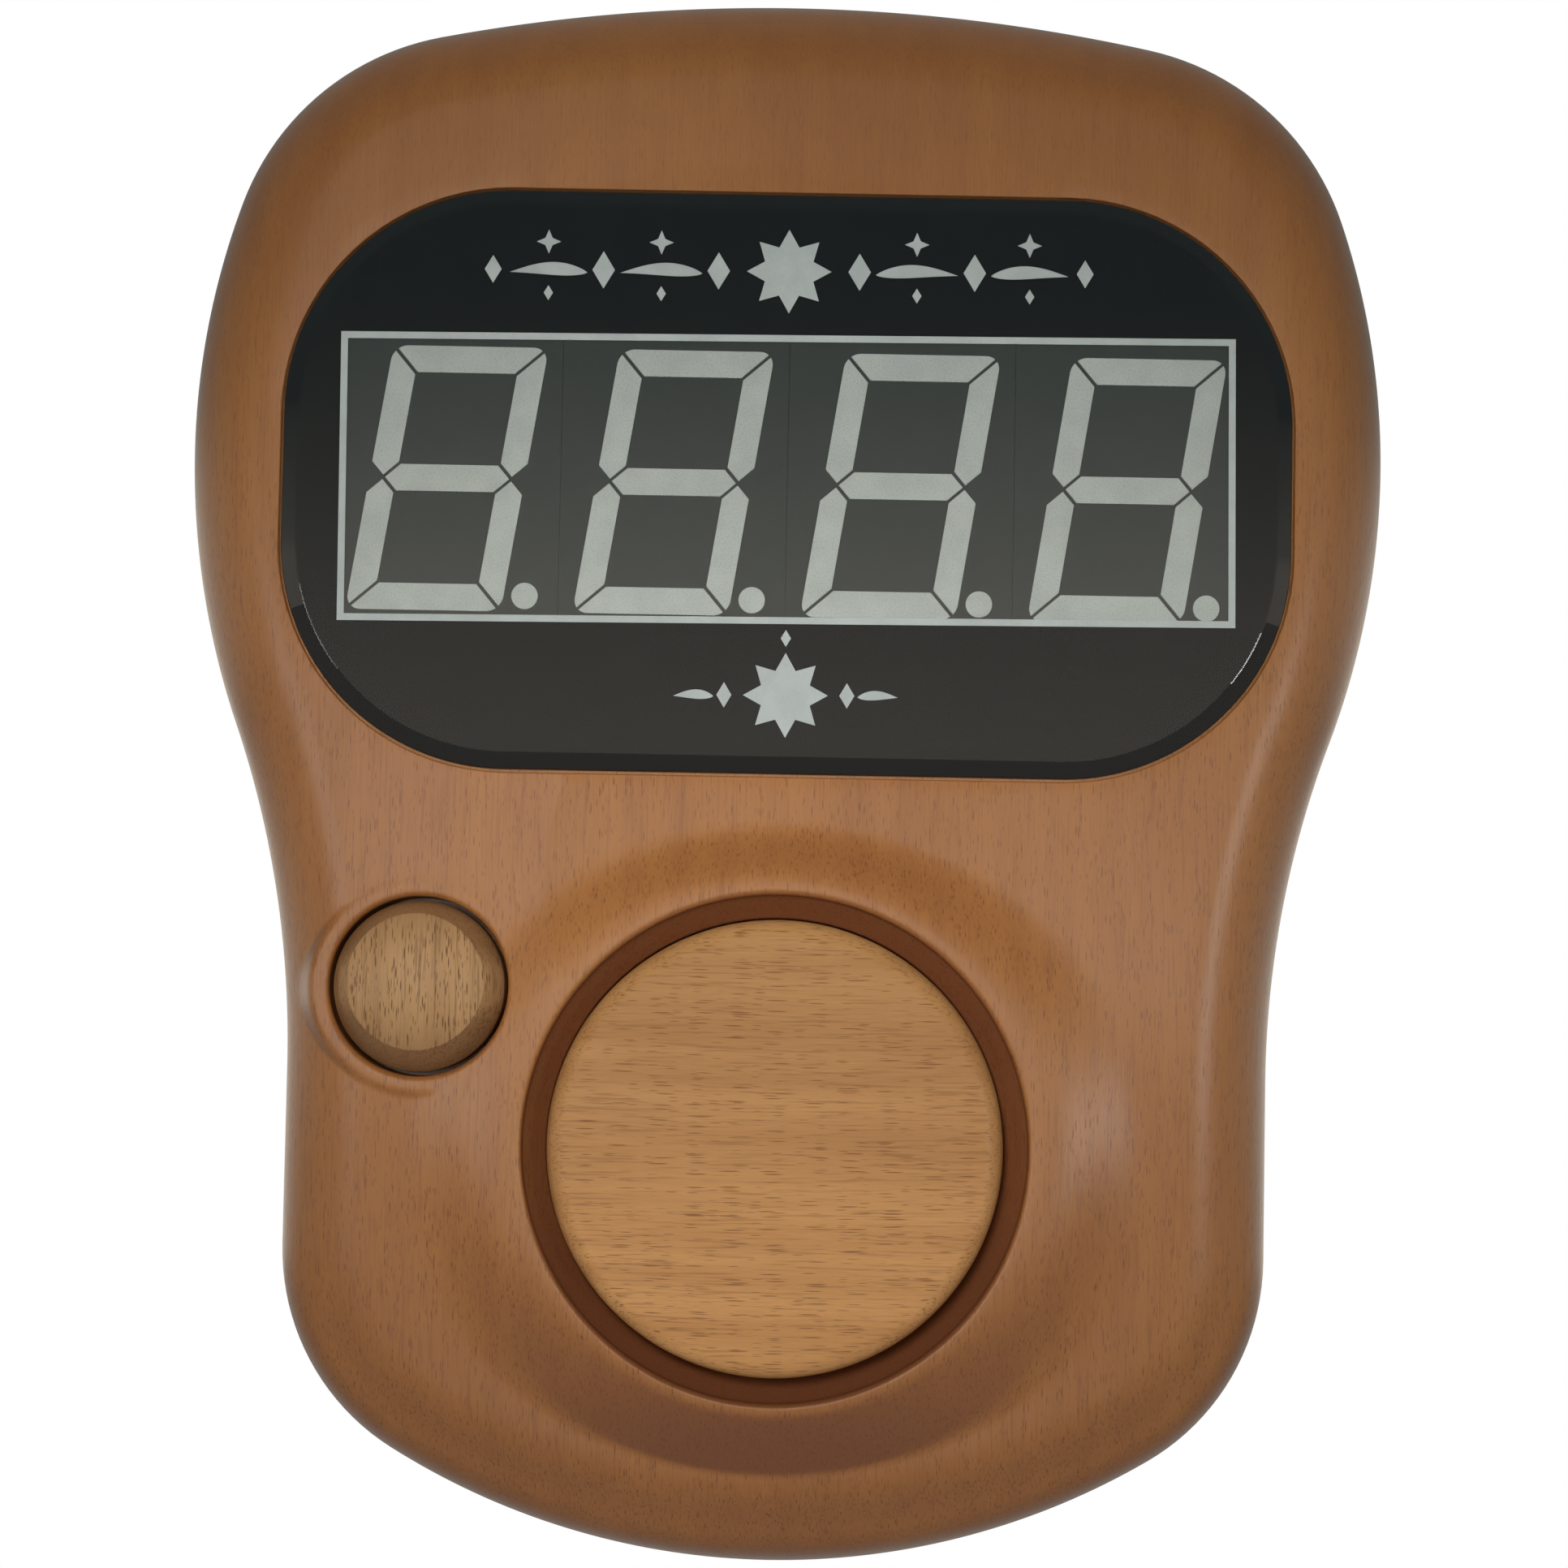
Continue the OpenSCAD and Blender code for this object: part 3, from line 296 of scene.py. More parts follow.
def pocket(inset, top):
    """The case's outline moved in and cut off straight at a height."""
    points = outline(inset)
    right = points[: len(points) // 3][::-1]
    half = np.interp(top, right[:, 1], right[:, 0])
    across = np.linspace(-half, half, 40)
    below = points[points[:, 1] < top - 0.2]
    first = int(np.argmax(below[:, 1] * (below[:, 0] > 0)))
    below = np.roll(below, -first, axis=0)
    return np.vstack((below, np.column_stack((across, np.full(len(across), top)))))


def turned(points, angle):
    """Points turned about the origin, clockwise for a negative angle."""
    c, s = math.cos(angle), math.sin(angle)
    return points @ np.array([(c, s), (-s, c)])


def inside(points, loop):
    """Which points lie inside a closed loop."""
    x, y = points[:, 0], points[:, 1]
    result = np.zeros(len(points), bool)
    for (x0, y0), (x1, y1) in zip(loop, np.roll(loop, -1, axis=0)):
        if y0 != y1:
            result ^= ((y0 > y) != (y1 > y)) & (x < (x1 - x0) * (y - y0) / (y1 - y0) + x0)
    return result


# Heights of the case's front
def smooth_step(low, high, value):
    t = np.clip((value - low) / (high - low), 0, 1)
    return t * t * (3 - 2 * t)


def smooth_max(a, b, blend):
    h = np.clip(0.5 + 0.5 * (a - b) / blend, 0, 1)
    return b + (a - b) * h + blend * h * (1 - h)


def rolled_edge(p):
    """Height of the flat front with its rounded edge."""
    e = np.clip(1 - edge_distance(p) / FRONT_EDGE_R, 0, 1)
    return FRONT_Z - FRONT_EDGE_R * (1 - np.sqrt(1 - e * e))


def collar_foot(angle):
    return 1 / np.hypot(np.cos(angle) / (RIM_R + COLLAR_SIDE), np.sin(angle) / (RIM_R + COLLAR_END))


def sag(p):
    """How far the front falls back towards the chin."""
    return CHIN_SAG * smooth_step(*SAG_HEIGHTS, p[:, 1]) * smooth_step(*SAG_EDGE, edge_distance(p))


def collar(p):
    """Share of the rise to the well's rim: soft above and beside it, a plain cone with a crisp foot below."""
    d = p - COUNT_C
    angle = np.arctan2(d[:, 1], d[:, 0])
    t = np.clip((np.hypot(*d.T) - RIM_R) / (collar_foot(angle) - RIM_R), 0, 1)
    crisp = smooth_step(*COLLAR_CRISP, -np.sin(angle))
    soft = (1 + np.cos(np.pi * t)) / 2
    return soft + crisp * (1 - t ** COLLAR_POWER - soft)


def boss(p):
    """Height of the drum that stands out of the rolled edge round the reset button."""
    r = np.hypot(*(p - RESET_C).T) - BOSS_FLAT_R
    tilt = BOSS_SLOPE / math.sqrt(1 + BOSS_SLOPE ** 2)
    e = np.clip(r / BOSS_EDGE_R, 0, tilt)
    edge = BOSS_Z - BOSS_EDGE_R * (1 - np.sqrt(1 - e * e))
    return edge - BOSS_SLOPE * np.maximum(r - tilt * BOSS_EDGE_R, 0)


def front_height(p):
    p = np.asarray(p, float)
    front = rolled_edge(p) - sag(p)
    return smooth_max(front + (RIM_Z - front) * collar(p), boss(p), BOSS_BLEND)


def thinned(points, kept, gap):
    """Points that keep a distance from those already kept."""
    tree = kdtree.KDTree(len(kept))
    for i, (x, y) in enumerate(kept):
        tree.insert((x, y, 0), i)
    tree.balance()
    return np.array([p for p in points if tree.find((p[0], p[1], 0))[2] > gap])


class Shell:
    """A mesh under construction, in millimetres as seen on the wall."""

    def __init__(self):
        self.points = []
        self.faces = []

    def add(self, points):
        first = len(self.points)
        self.points.extend(tuple(float(c) for c in p) for p in points)
        return list(range(first, len(self.points)))

    def ring(self, loop, z):
        z = np.broadcast_to(z, len(loop))
        return self.add(np.column_stack((loop, z)))

    def strip(self, a, b):
        for i in range(len(a)):
            j = (i + 1) % len(a)
            self.faces.append((a[i], a[j], b[j], b[i]))

    def loft(self, rings):
        for a, b in zip(rings, rings[1:]):
            self.strip(a, b)

    def wall(self, loop, z0, z1):
        self.strip(self.ring(loop, z0), self.ring(loop, z1))

    def sheet(self, outer, holes=(), *, lift, inner=None):
        """Triangles between closed loops. lift is a height, or a function of plane points that gives
        heights, or one that gives whole points."""
        loops = [np.asarray(outer), *map(np.asarray, holes)]
        plane = np.vstack(loops + ([] if inner is None else [inner]))
        slack = 1e-5
        edges = []
        first = 0
        for loop in loops:
            edges += [(first + i, first + (i + 1) % len(loop)) for i in range(len(loop))]
            first += len(loop)
        made = geometry.delaunay_2d_cdt([Vector(p) for p in plane], edges, [], 0, slack)
        plane = np.array([tuple(v) for v in made[0]])
        triangles = np.array(made[2])
        middles = plane[triangles].mean(axis=1)
        kept = inside(middles, loops[0])
        for hole in loops[1:]:
            kept &= ~inside(middles, hole)
        heights = lift(plane) if callable(lift) else np.full(len(plane), lift)
        whole = heights if heights.ndim == 2 else np.column_stack((plane, heights))
        index = self.add(whole)
        self.faces += [tuple(index[i] for i in t) for t in triangles[kept]]

    def plate(self, loop, z0, z1):
        """A flat closed piece between two heights."""
        self.wall(loop, z0, z1)
        self.sheet(loop, lift=z0)
        self.sheet(loop, lift=z1)

    def build(self, name, material, body, replaced=(), sharp=35):
        """Welds the mesh, makes its object and fastens it to a body."""
        mesh = bpy.data.meshes.new(name)
        mesh.from_pydata([(x * MM, -z * MM, y * MM) for x, y, z in self.points], [], self.faces)
        bm = bmesh.new()
        bm.from_mesh(mesh)
        bmesh.ops.remove_doubles(bm, verts=bm.verts, dist=WELD)
        bmesh.ops.dissolve_degenerate(bm, edges=bm.edges, dist=WELD / 20)
        loose = [v for v in bm.verts if not v.link_faces]
        bmesh.ops.delete(bm, geom=loose, context="VERTS")
        bmesh.ops.recalc_face_normals(bm, faces=bm.faces)
        bm.to_mesh(mesh)
        bm.free()
        mesh.shade_smooth()
        mesh.set_sharp_from_angle(angle=math.radians(sharp))
        mesh.materials.append(material)
        piece = bpy.data.objects.new(name, mesh)
        bpy.context.scene.collection.objects.link(piece)
        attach(piece, body)
        if replaced:
            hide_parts(*replaced)
        return piece


# Materials
class Nodes:
    """A node tree under construction."""

    def __init__(self, tree):
        self.tree = tree
        tree.nodes.clear()

    def link(self, source, target):
        self.tree.links.new(source, target)

    def node(self, kind, settings=None, **inputs):
        """A new node. Its inputs are given by name, or by place as i0, i1 and so on. Colours
        are red, green and blue."""
        made = self.tree.nodes.new(kind)
        for key, value in (settings or {}).items():
            setattr(made, key, value)
        for key, value in inputs.items():
            by_place = key[0] == "i" and key[1:].isdigit()
            socket = made.inputs[int(key[1:]) if by_place else key.replace("_", " ")]
            if isinstance(value, bpy.types.NodeSocket):
                self.link(value, socket)
            else:
                socket.default_value = (*value, 1.0) if socket.type == "RGBA" else value
        return made

    def calc(self, operation, *values):
        inputs = {f"i{place}": value for place, value in enumerate(values)}
        return self.node("ShaderNodeMath", {"operation": operation}, **inputs).outputs[0]

    def sum(self, a, b, share):
        """a and a share of b."""
        return self.calc("MULTIPLY_ADD", b, share, a)

    def times(self, a, b):
        return self.calc("MULTIPLY", a, b)

    def remap(self, value, low, high, to_low=0.0, to_high=1.0):
        settings = {"interpolation_type": "SMOOTHSTEP"}
        made = self.node("ShaderNodeMapRange", settings, Value=value, From_Min=low, From_Max=high,
                         To_Min=to_low, To_Max=to_high)
        return made.outputs[0]

    def mix(self, share, a, b, blend="MIX"):
        settings = {"data_type": "RGBA", "blend_type": blend}
        return self.node("ShaderNodeMix", settings, i0=share, i6=a, i7=b).outputs[2]

    def ray(self, name):
        """1 for rays of one kind."""
        return self.node("ShaderNodeLightPath").outputs[name]

    def background_share(self):
        """1 for rays that see the background directly, in a mirror or through glass."""
        reflected = self.calc("MAXIMUM", self.ray("Is Camera Ray"), self.ray("Is Glossy Ray"))
        return self.calc("MAXIMUM", reflected, self.ray("Is Transmission Ray"))


class Finish(Nodes):
    """A node material round one Principled shader."""

    def __init__(self, name, **values):
        self.material = bpy.data.materials.new(name)
        self.material.use_nodes = True
        super().__init__(self.material.node_tree)
        self.shader = self.node("ShaderNodeBsdfPrincipled", **values)
        self.output = self.node("ShaderNodeOutputMaterial", Surface=self.shader.outputs[0])
        self.place = self.node("ShaderNodeTexCoord").outputs["Object"]

    def stretched(self, size):
        """Object coordinates divided by a cell size in millimetres."""
        scale = tuple(1 / (s * MM) for s in size)
        return self.node("ShaderNodeMapping", Vector=self.place, Scale=scale).outputs[0]

    def noise(self, size, detail, rough=0.5, shift=0.0):
        settings = {"noise_dimensions": "4D"}
        made = self.node("ShaderNodeTexNoise", settings, Vector=self.stretched(size), W=shift, Scale=1.0,
                         Detail=detail, Roughness=rough)
        return made.outputs["Fac"]

    def wave(self, size, reach):
        """Lets the coordinates sway by a few millimetres, as grain does."""
        settings = {"noise_dimensions": "3D"}
        sway = self.node("ShaderNodeTexNoise", settings, Vector=self.stretched(size), Scale=1.0, Detail=1.0)
        moved = self.node("ShaderNodeVectorMath", {"operation": "MULTIPLY_ADD"}, i0=sway.outputs["Color"],
                          i1=(reach * MM,) * 3, i2=self.place)
        self.place = moved.outputs[0]

    def within(self, centre, r, blur):
        """1 inside a round area of the front, 0 outside."""
        place = self.node("ShaderNodeTexCoord").outputs["Object"]
        parts = self.node("ShaderNodeSeparateXYZ", Vector=place)
        flat = self.node("ShaderNodeCombineXYZ", X=parts.outputs[0], Y=parts.outputs[2]).outputs[0]
        middle = (centre[0] * MM, centre[1] * MM, 0)
        away = self.node("ShaderNodeVectorMath", {"operation": "DISTANCE"}, i0=flat, i1=middle)
        return self.remap(away.outputs["Value"], r * MM, (r + blur) * MM, 1.0, 0.0)

    def drift(self, high, low, at_high, at_low):
        """A grey that changes slowly down the piece, between two heights on the wall."""
        parts = self.node("ShaderNodeSeparateXYZ", Vector=self.place)
        return self.remap(parts.outputs[2], low * MM, high * MM, at_low, at_high)

    def end_grain(self, axis):
        """How far the surface is cut across the grain, from 0 to 1."""
        facing = self.node("ShaderNodeNewGeometry").outputs["Normal"]
        part = self.node("ShaderNodeSeparateXYZ", Vector=facing).outputs[axis]
        return self.remap(self.calc("ABSOLUTE", part), 0.08, 0.45)

    def bump(self, height, strength, depth, *sockets):
        made = self.node("ShaderNodeBump", Height=height, Strength=strength, Distance=depth * MM)
        for name in ("Normal", *sockets):
            self.link(made.outputs[0], self.shader.inputs[name])

    def blend(self, share, other):
        """Lets another shader take the Principled one's place by a share."""
        mixed = self.node("ShaderNodeMixShader", i0=share, i1=self.shader.outputs[0], i2=other.outputs[0])
        self.link(mixed.outputs[0], self.output.inputs["Surface"])
        return self.material

    def set(self, **links):
        for key, value in links.items():
            self.link(value, self.shader.inputs[key.replace("_", " ")])
        return self.material


def along(axis, across, length):
    """A cell that is long in the direction of the grain."""
    return tuple(length if i == axis else across for i in range(3))


def flecks(finish, axis, across, length, share, shift):
    """Short dark dashes along the grain, each in its own cell."""
    cells = finish.stretched(along(axis, across, length))
    moved = finish.node("ShaderNodeVectorMath", {"operation": "ADD"}, i0=cells, i1=(shift,) * 3)
    cell = finish.node("ShaderNodeTexVoronoi", Vector=moved.outputs[0], Scale=1.0, Randomness=1.0)
    dash = finish.remap(cell.outputs["Distance"], 0.18, 0.36, 1.0, 0.0)
    lot = finish.node("ShaderNodeSeparateColor", Color=cell.outputs["Color"]).outputs[0]
    return finish.times(dash, finish.remap(lot, share - 0.12, share + 0.12, 1.0, 0.0))


# Cells of the wood's patterns: millimetres across and along the grain
SWAY_CELL = (16.0, 70.0)
FIBRE_CELL = (0.30, 7.0)
BAND_CELL = (6.0, 110.0)
CLOUD_CELL = (55.0, 90.0)
LINE_CELL = (0.50, 16.0)
GRIT_CELL = (0.24, 1.2)


def beech(name, axis, *, light, dark, end, fleck, fleck_size, fleck_share, fleck_dark, lines, rough, bands,
          end_share, coat=0.1, well=None, drift=None, fade=None):
    """Beech along an axis: soft bands, fine fibres, drawn-out lines and short dark flecks under a satin
    finish. drift and fade hold two heights on the wall and the factors there, for colour and marks; the
    colour drift is painted shade. well is the colour of painted shade in the count button's well."""
    f = Finish(name, Specular_IOR_Level=0.36, Coat_Weight=coat, Coat_Roughness=0.26)
    f.wave(along(axis, *SWAY_CELL), 2.4)
    fibre = f.noise(along(axis, *FIBRE_CELL), 3.0)
    band = f.noise(along(axis, *BAND_CELL), 2.0, shift=3.0)
    cloud = f.noise(along(axis, *CLOUD_CELL), 1.0, shift=7.0)
    tone = f.sum(f.sum(f.times(band, bands), cloud, 0.5), fibre, 0.45)
    tone = f.remap(tone, 0.30 + 0.3 * bands, 0.65 + 0.7 * bands)
    colour = f.mix(tone, dark, light)
    # Painted shade: the colour changes down the piece as the light would
    if drift:
        colour = f.mix(1.0, colour, f.drift(*drift), "MULTIPLY")
    cut = f.end_grain(axis)
    if well:
        above = COUNT_C[1] + WELL_R
        below = COUNT_C[1] - WELL_R
        # End grain of the collar round the well, with painted shade added: little at its top, much towards
        # its bottom
        collar_grain_and_shade = f.times(f.within(COUNT_C, RIM_R + COLLAR_END, 4.0), f.drift(above, below, 0.3, 1.4))
        colour = f.mix(f.times(cut, f.sum(end_share, collar_grain_and_shade, 0.5)), colour, end)
        # Painted shade in the count button's well: its wood darkened, less at the top and more at the bottom
        wall = f.mix(1.0, well, f.drift(above, below, 1.35, 0.85), "MULTIPLY")
        colour = f.mix(f.times(f.within(COUNT_C, WELL_R, 0.4), 0.7), colour, wall)
    else:
        colour = f.mix(f.times(cut, end_share), colour, end)
    if fade:
        left = f.drift(*fade)
        lines = f.times(left, lines)
        fleck_dark = f.times(left, fleck_dark)
    line = f.remap(f.noise(along(axis, *LINE_CELL), 2.0, shift=17.0), 0.52, 0.66)
    colour = f.mix(f.times(line, lines), colour, fleck)
    marks = flecks(f, axis, *fleck_size, fleck_share, 0.0)
    more = flecks(f, axis, fleck_size[0] * 0.8, fleck_size[1] * 0.55, fleck_share * 0.8, 31.7)
    both = f.calc("MAXIMUM", marks, f.times(more, 0.8))
    colour = f.mix(f.times(both, fleck_dark), colour, fleck)
    grit = f.noise(along(axis, *GRIT_CELL), 2.0, 0.6, 11.0)
    relief = f.sum(f.sum(grit, fibre, 0.6), both, -0.5)
    f.bump(relief, 0.65, 0.04, "Coat Normal")
    shine = f.remap(f.sum(grit, fibre, 0.5), 0.4, 1.1, rough - 0.10, rough + 0.1)
    return f.set(Base_Color=colour, Roughness=shine)


def plain(name, light, dark, *, grain, rough, metallic=0.0, relief=0.15, **values):
    """A moulded, printed or metal surface: two close tones, a fine grain and uneven gloss."""
    f = Finish(name, Metallic=metallic, **values)
    cloud = f.noise((grain * 14,) * 3, 2.0)
    grit = f.noise((grain,) * 3, 3.0, 0.6, 5.0)
    tone = f.remap(f.sum(cloud, grit, 0.6), 0.5, 1.1)
    if relief:
        f.bump(grit, relief, 0.02)
    gloss = f.remap(grit, 0.25, 0.75, rough - 0.06, rough + 0.08)
    return f.set(Base_Color=f.mix(tone, dark, light), Roughness=gloss)


def clear_glass(name):
    """Clear glass that lets the lamps reach what lies behind it."""
    f = Finish(name, Transmission_Weight=1.0, Roughness=0.0, IOR=1.5, Specular_IOR_Level=0.5)
    smear = f.noise((22.0,) * 3, 3.0)
    f.set(Base_Color=f.mix(smear, (0.95, 0.98, 0.97), (0.97, 0.99, 0.98)))
    through = f.node("ShaderNodeBsdfTransparent", Color=(0.93, 0.95, 0.94))
    return f.blend(f.ray("Is Shadow Ray"), through)


ACROSS, UPRIGHT = 0, 2
# well is the colour of the painted shade in the count button's well
CASE_WOOD = beech(
    "stained_beech", UPRIGHT, light=(0.402, 0.161, 0.040), dark=(0.317, 0.117, 0.029),
    end=(0.20, 0.064, 0.019), fleck=(0.13, 0.038, 0.009), fleck_size=(0.50, 4.2), fleck_share=0.36,
    fleck_dark=0.62, lines=0.26, rough=0.44, bands=0.5, end_share=0.25, coat=0.75,
    well=(0.245, 0.088, 0.040), fade=(125.0, 10.0, 0.4, 1.0))
# The count button's drift is painted shade: its face darker at the top and lighter at the bottom, as the
# light falls
COUNT_WOOD = beech(
    "count_beech", ACROSS, light=(0.585, 0.300, 0.108), dark=(0.440, 0.204, 0.067),
    end=(0.34, 0.150, 0.052), fleck=(0.20, 0.076, 0.022), fleck_size=(0.46, 8.0), fleck_share=0.36,
    fleck_dark=0.80, lines=0.36, rough=0.42, bands=0.9, end_share=0.08,
    drift=(COUNT_C[1] + COUNT_R, COUNT_C[1] - COUNT_R, 0.82, 1.22))
RESET_WOOD = beech(
    "reset_beech", UPRIGHT, light=(0.51, 0.292, 0.128), dark=(0.35, 0.183, 0.074),
    end=(0.22, 0.100, 0.039), fleck=(0.15, 0.068, 0.024), fleck_size=(0.52, 4.6), fleck_share=0.62,
    fleck_dark=0.95, lines=0.50, rough=0.42, bands=0.9, end_share=0.8)
GLASS = clear_glass("window_glass")
BLACK_PRINT = plain("black_print", (0.005, 0.0055, 0.0055), (0.004, 0.0042, 0.0044), grain=0.6,
                    rough=0.5, relief=0.0, Specular_IOR_Level=0.0)
WHITE_PRINT = plain("white_print", (0.50, 0.53, 0.515), (0.43, 0.455, 0.445), grain=0.5, rough=0.5,
                    relief=0.0, Specular_IOR_Level=0.0)
MODULE = plain("module_plastic", (0.020, 0.023, 0.020), (0.016, 0.018, 0.016), grain=0.25, rough=0.55,
               Specular_IOR_Level=0.2)
RESIN = plain("segment_resin", (0.41, 0.42, 0.395), (0.35, 0.36, 0.34), grain=0.4, rough=0.28, relief=0.05)
TAPE = plain("bonding_tape", (0.030, 0.030, 0.031), (0.020, 0.020, 0.021), grain=0.5, rough=0.8)
COVER = plain("cover_board", (0.150, 0.090, 0.048), (0.085, 0.050, 0.027), grain=0.45, rough=0.72,
              relief=0.5)
BOARD = plain("circuit_board", (0.030, 0.16, 0.062), (0.018, 0.105, 0.042), grain=0.5, rough=0.38)
CONTACT = plain("contact_metal", (0.72, 0.70, 0.64), (0.58, 0.56, 0.50), grain=0.3, rough=0.28, metallic=1.0)
BRASS = plain("brass", (0.66, 0.50, 0.22), (0.52, 0.38, 0.15), grain=0.3, rough=0.32, metallic=1.0)
ZINC = plain("zinc_steel", (0.62, 0.63, 0.64), (0.45, 0.46, 0.47), grain=0.35, rough=0.34, metallic=1.0)
HANGER = plain("hanger_steel", (0.56, 0.56, 0.57), (0.40, 0.40, 0.41), grain=0.5, rough=0.38,
               metallic=1.0, relief=0.25)
SPRING = plain("spring_steel", (0.50, 0.50, 0.51), (0.36, 0.36, 0.37), grain=0.3, rough=0.30, metallic=1.0)
CHIP = plain("chip_plastic", (0.028, 0.028, 0.029), (0.016, 0.016, 0.017), grain=0.2, rough=0.55)
SLEEVE = plain("capacitor_sleeve", (0.025, 0.030, 0.095), (0.016, 0.020, 0.065), grain=0.4, rough=0.35)
NYLON = plain("nylon", (0.74, 0.71, 0.63), (0.64, 0.61, 0.53), grain=0.4, rough=0.45)
SOCKET = plain("socket_plastic", (0.024, 0.024, 0.025), (0.013, 0.013, 0.014), grain=0.25, rough=0.42)
CABLE = plain("cable_sleeve", (0.035, 0.037, 0.042), (0.020, 0.021, 0.025), grain=0.4, rough=0.5)

# Nodes that stay as they are, by their finish
NODES_BY_FINISH = [
    (COVER, "rear_cover"),
    (TAPE, "glass_tape"),
    (SLEEVE, "capacitors"),
    (SOCKET, "power_socket"),
    (HANGER, "hanger_plates"),
    (CONTACT, "module_pins power_socket_pin"),
    (BRASS, "board_standoffs guide_bushes"),
    (BOARD, "display_board count_board reset_board"),
    (CHIP, "microcontroller driver_chips count_switch reset_switch"),
    (ZINC, "board_screws count_guide_screws reset_guide_screw power_socket_nut"),
    (ZINC, "count_board_screws reset_board_screws"),
    (NYLON, "wire_headers count_striker count_switch_plunger reset_switch_plunger"),
    (NYLON, "count_board_spacers reset_board_spacers"),
    (CABLE, "count_cable reset_cable power_cable"),
    (MODULE, "digit_module_1 digit_module_2 digit_module_3 digit_module_4"),
    (RESIN, "digit_segments_1 digit_segments_2 digit_segments_3 digit_segments_4"),
]
# Nodes with edges worn round: the radius in millimetres
EASED = {"hanger_plates": 0.35, "power_socket": 0.4, "rear_cover": 0.4, "power_socket_pin": 0.4}
EASED.update({f"digit_segments_{i}": 0.3 for i in range(1, 5)})
EASED_ANGLE = 40
EASED_STEPS = 3


def ease_edges(node, radius):
    """Rounds the sharp edges of a node's picture, not of its mesh."""
    weld = node.modifiers.new("weld", "WELD")
    weld.merge_threshold = NODE_WELD
    bevel = node.modifiers.new("eased", "BEVEL")
    bevel.width = radius * MM
    bevel.segments = EASED_STEPS
    bevel.limit_method = "ANGLE"
    bevel.angle_limit = math.radians(EASED_ANGLE)
    bevel.harden_normals = True


def finish_nodes():
    """Gives the frame's own nodes their finish and eases the edges that show."""
    for material, names in NODES_BY_FINISH:
        for name in names.split():
            node = frame["nodes"][name]
            node.data.materials.clear()
            node.data.materials.append(material)
            if name in EASED:
                ease_edges(node, EASED[name])


# Case
def case_front(shell, window, well, reset):
    """The front between the rolled edge and the three openings, with points gathered where it curves."""
    turn = np.radians(np.arange(0, 360, 1.6))
    rings = [outline(d) for d in (3.2, 4.6, 6.2, 8, 10, 12, 14, 16, 17.6, 19, 20.4)]
    curved = []
    for share in np.linspace(0.05, 1.08, 16):
        reach = RIM_R + (collar_foot(turn) - RIM_R) * share
        curved.append(COUNT_C + reach[:, None] * np.column_stack((np.cos(turn), np.sin(turn))))
    drum = [circle(RESET_C, r, RESET_SIDES) for r in np.arange(BOSS_FLAT_R - 0.7, BOSS_FLAT_R + 7, 0.55)]
    step = 4.0
    row_gap = step * 0.866
    rows = enumerate(np.arange(-HALF_H, HALF_H, row_gap))
    columns = np.arange(-HALF_W, HALF_W, step)
    grid = [(x + (row % 2) * step / 2, y) for row, y in rows for x in columns]
    outer = outline(SHEET_INSET)
    holes = (window, well, reset)
    edges = np.vstack((outer, *holes))
    kept = edges
    for group, gap in ((drum, 0.3), (curved, 0.8), (rings, 0.9), (grid, 1.6)):
        kept = np.vstack((kept, thinned(np.vstack(group), kept, gap)))
    inner = kept[len(edges):]
    inner = inner[inside(inner, outer)]
    for hole in holes:
        inner = inner[~inside(inner, hole)]
    shell.sheet(outer, holes, lift=front_height, inner=inner)


def eased_well(shell, loop_at, lip, top, floor_z):
    """A rounded lip and a straight wall. loop_at(distance) gives the opening grown by a distance."""
    steps = 6
    rings = []
    for a in np.radians(np.linspace(0, 90, steps + 1)):
        loop = loop_at(lip * (1 - math.sin(a)))
        rings.append(shell.ring(loop, top - lip * (1 - math.cos(a))))
    rings.append(shell.ring(loop_at(0.0), floor_z))
    shell.loft(rings)


def near_socket(points):
    """Which points of a loop lie at the chin, round the socket."""
    return (abs(points[:, 0]) < SOCKET_PATCH) & (points[:, 1] < 0)


def chin_patch(shell, inset, z0, z1, hole_r):
    """The upright wall at the chin, with the socket's hole in it. Returns the hole's rim."""
    points = outline(inset)
    x = points[near_socket(points)][:, 0]
    front, back = (np.column_stack((x, np.full(len(x), z))) for z in (z1, z0))
    edge = np.vstack((front, back[::-1]))
    r = CHIN_R - inset

    def on_chin(p):
        return np.column_stack((p[:, 0], CHIN_C[1] - np.sqrt(r * r - p[:, 0] ** 2), p[:, 1]))

    hole = circle((0, SOCKET_Z), hole_r, BORE_SIDES)
    shell.sheet(edge, (hole,), lift=on_chin)
    return on_chin(hole)


def side_wall(shell, loop, inset, z0, z1, hole_r):
    """An upright wall along a loop, with the socket's hole in it. Returns the hole's rim."""
    hole = chin_patch(shell, inset, z0, z1, hole_r)
    low, high = shell.ring(loop, z0), shell.ring(loop, z1)
    near = near_socket(loop)
    for i in range(len(loop)):
        j = (i + 1) % len(loop)
        if not (near[i] and near[j]):
            shell.faces.append((low[i], low[j], high[j], high[i]))
    return hole


def case_sides(shell):
    """The rolled edge's outer part, the upright side and the eased back edge."""
    first = math.acos(1 - SHEET_INSET / FRONT_EDGE_R)
    front = [shell.ring(outline(FRONT_EDGE_R * (1 - math.cos(a))), FRONT_Z - FRONT_EDGE_R * (1 - math.sin(a)))
             for a in np.linspace(first, 0, 6)]
    shell.loft(front)
    back = [shell.ring(outline(BACK_EDGE_R * (1 - math.sin(a))), BACK_EDGE_R * (1 - math.cos(a)))
            for a in np.radians(np.linspace(90, 0, 5))]
    shell.loft(back)
    return side_wall(shell, outline(0.0), 0.0, BACK_EDGE_R, FRONT_Z - FRONT_EDGE_R, SOCKET_SEAT_R)


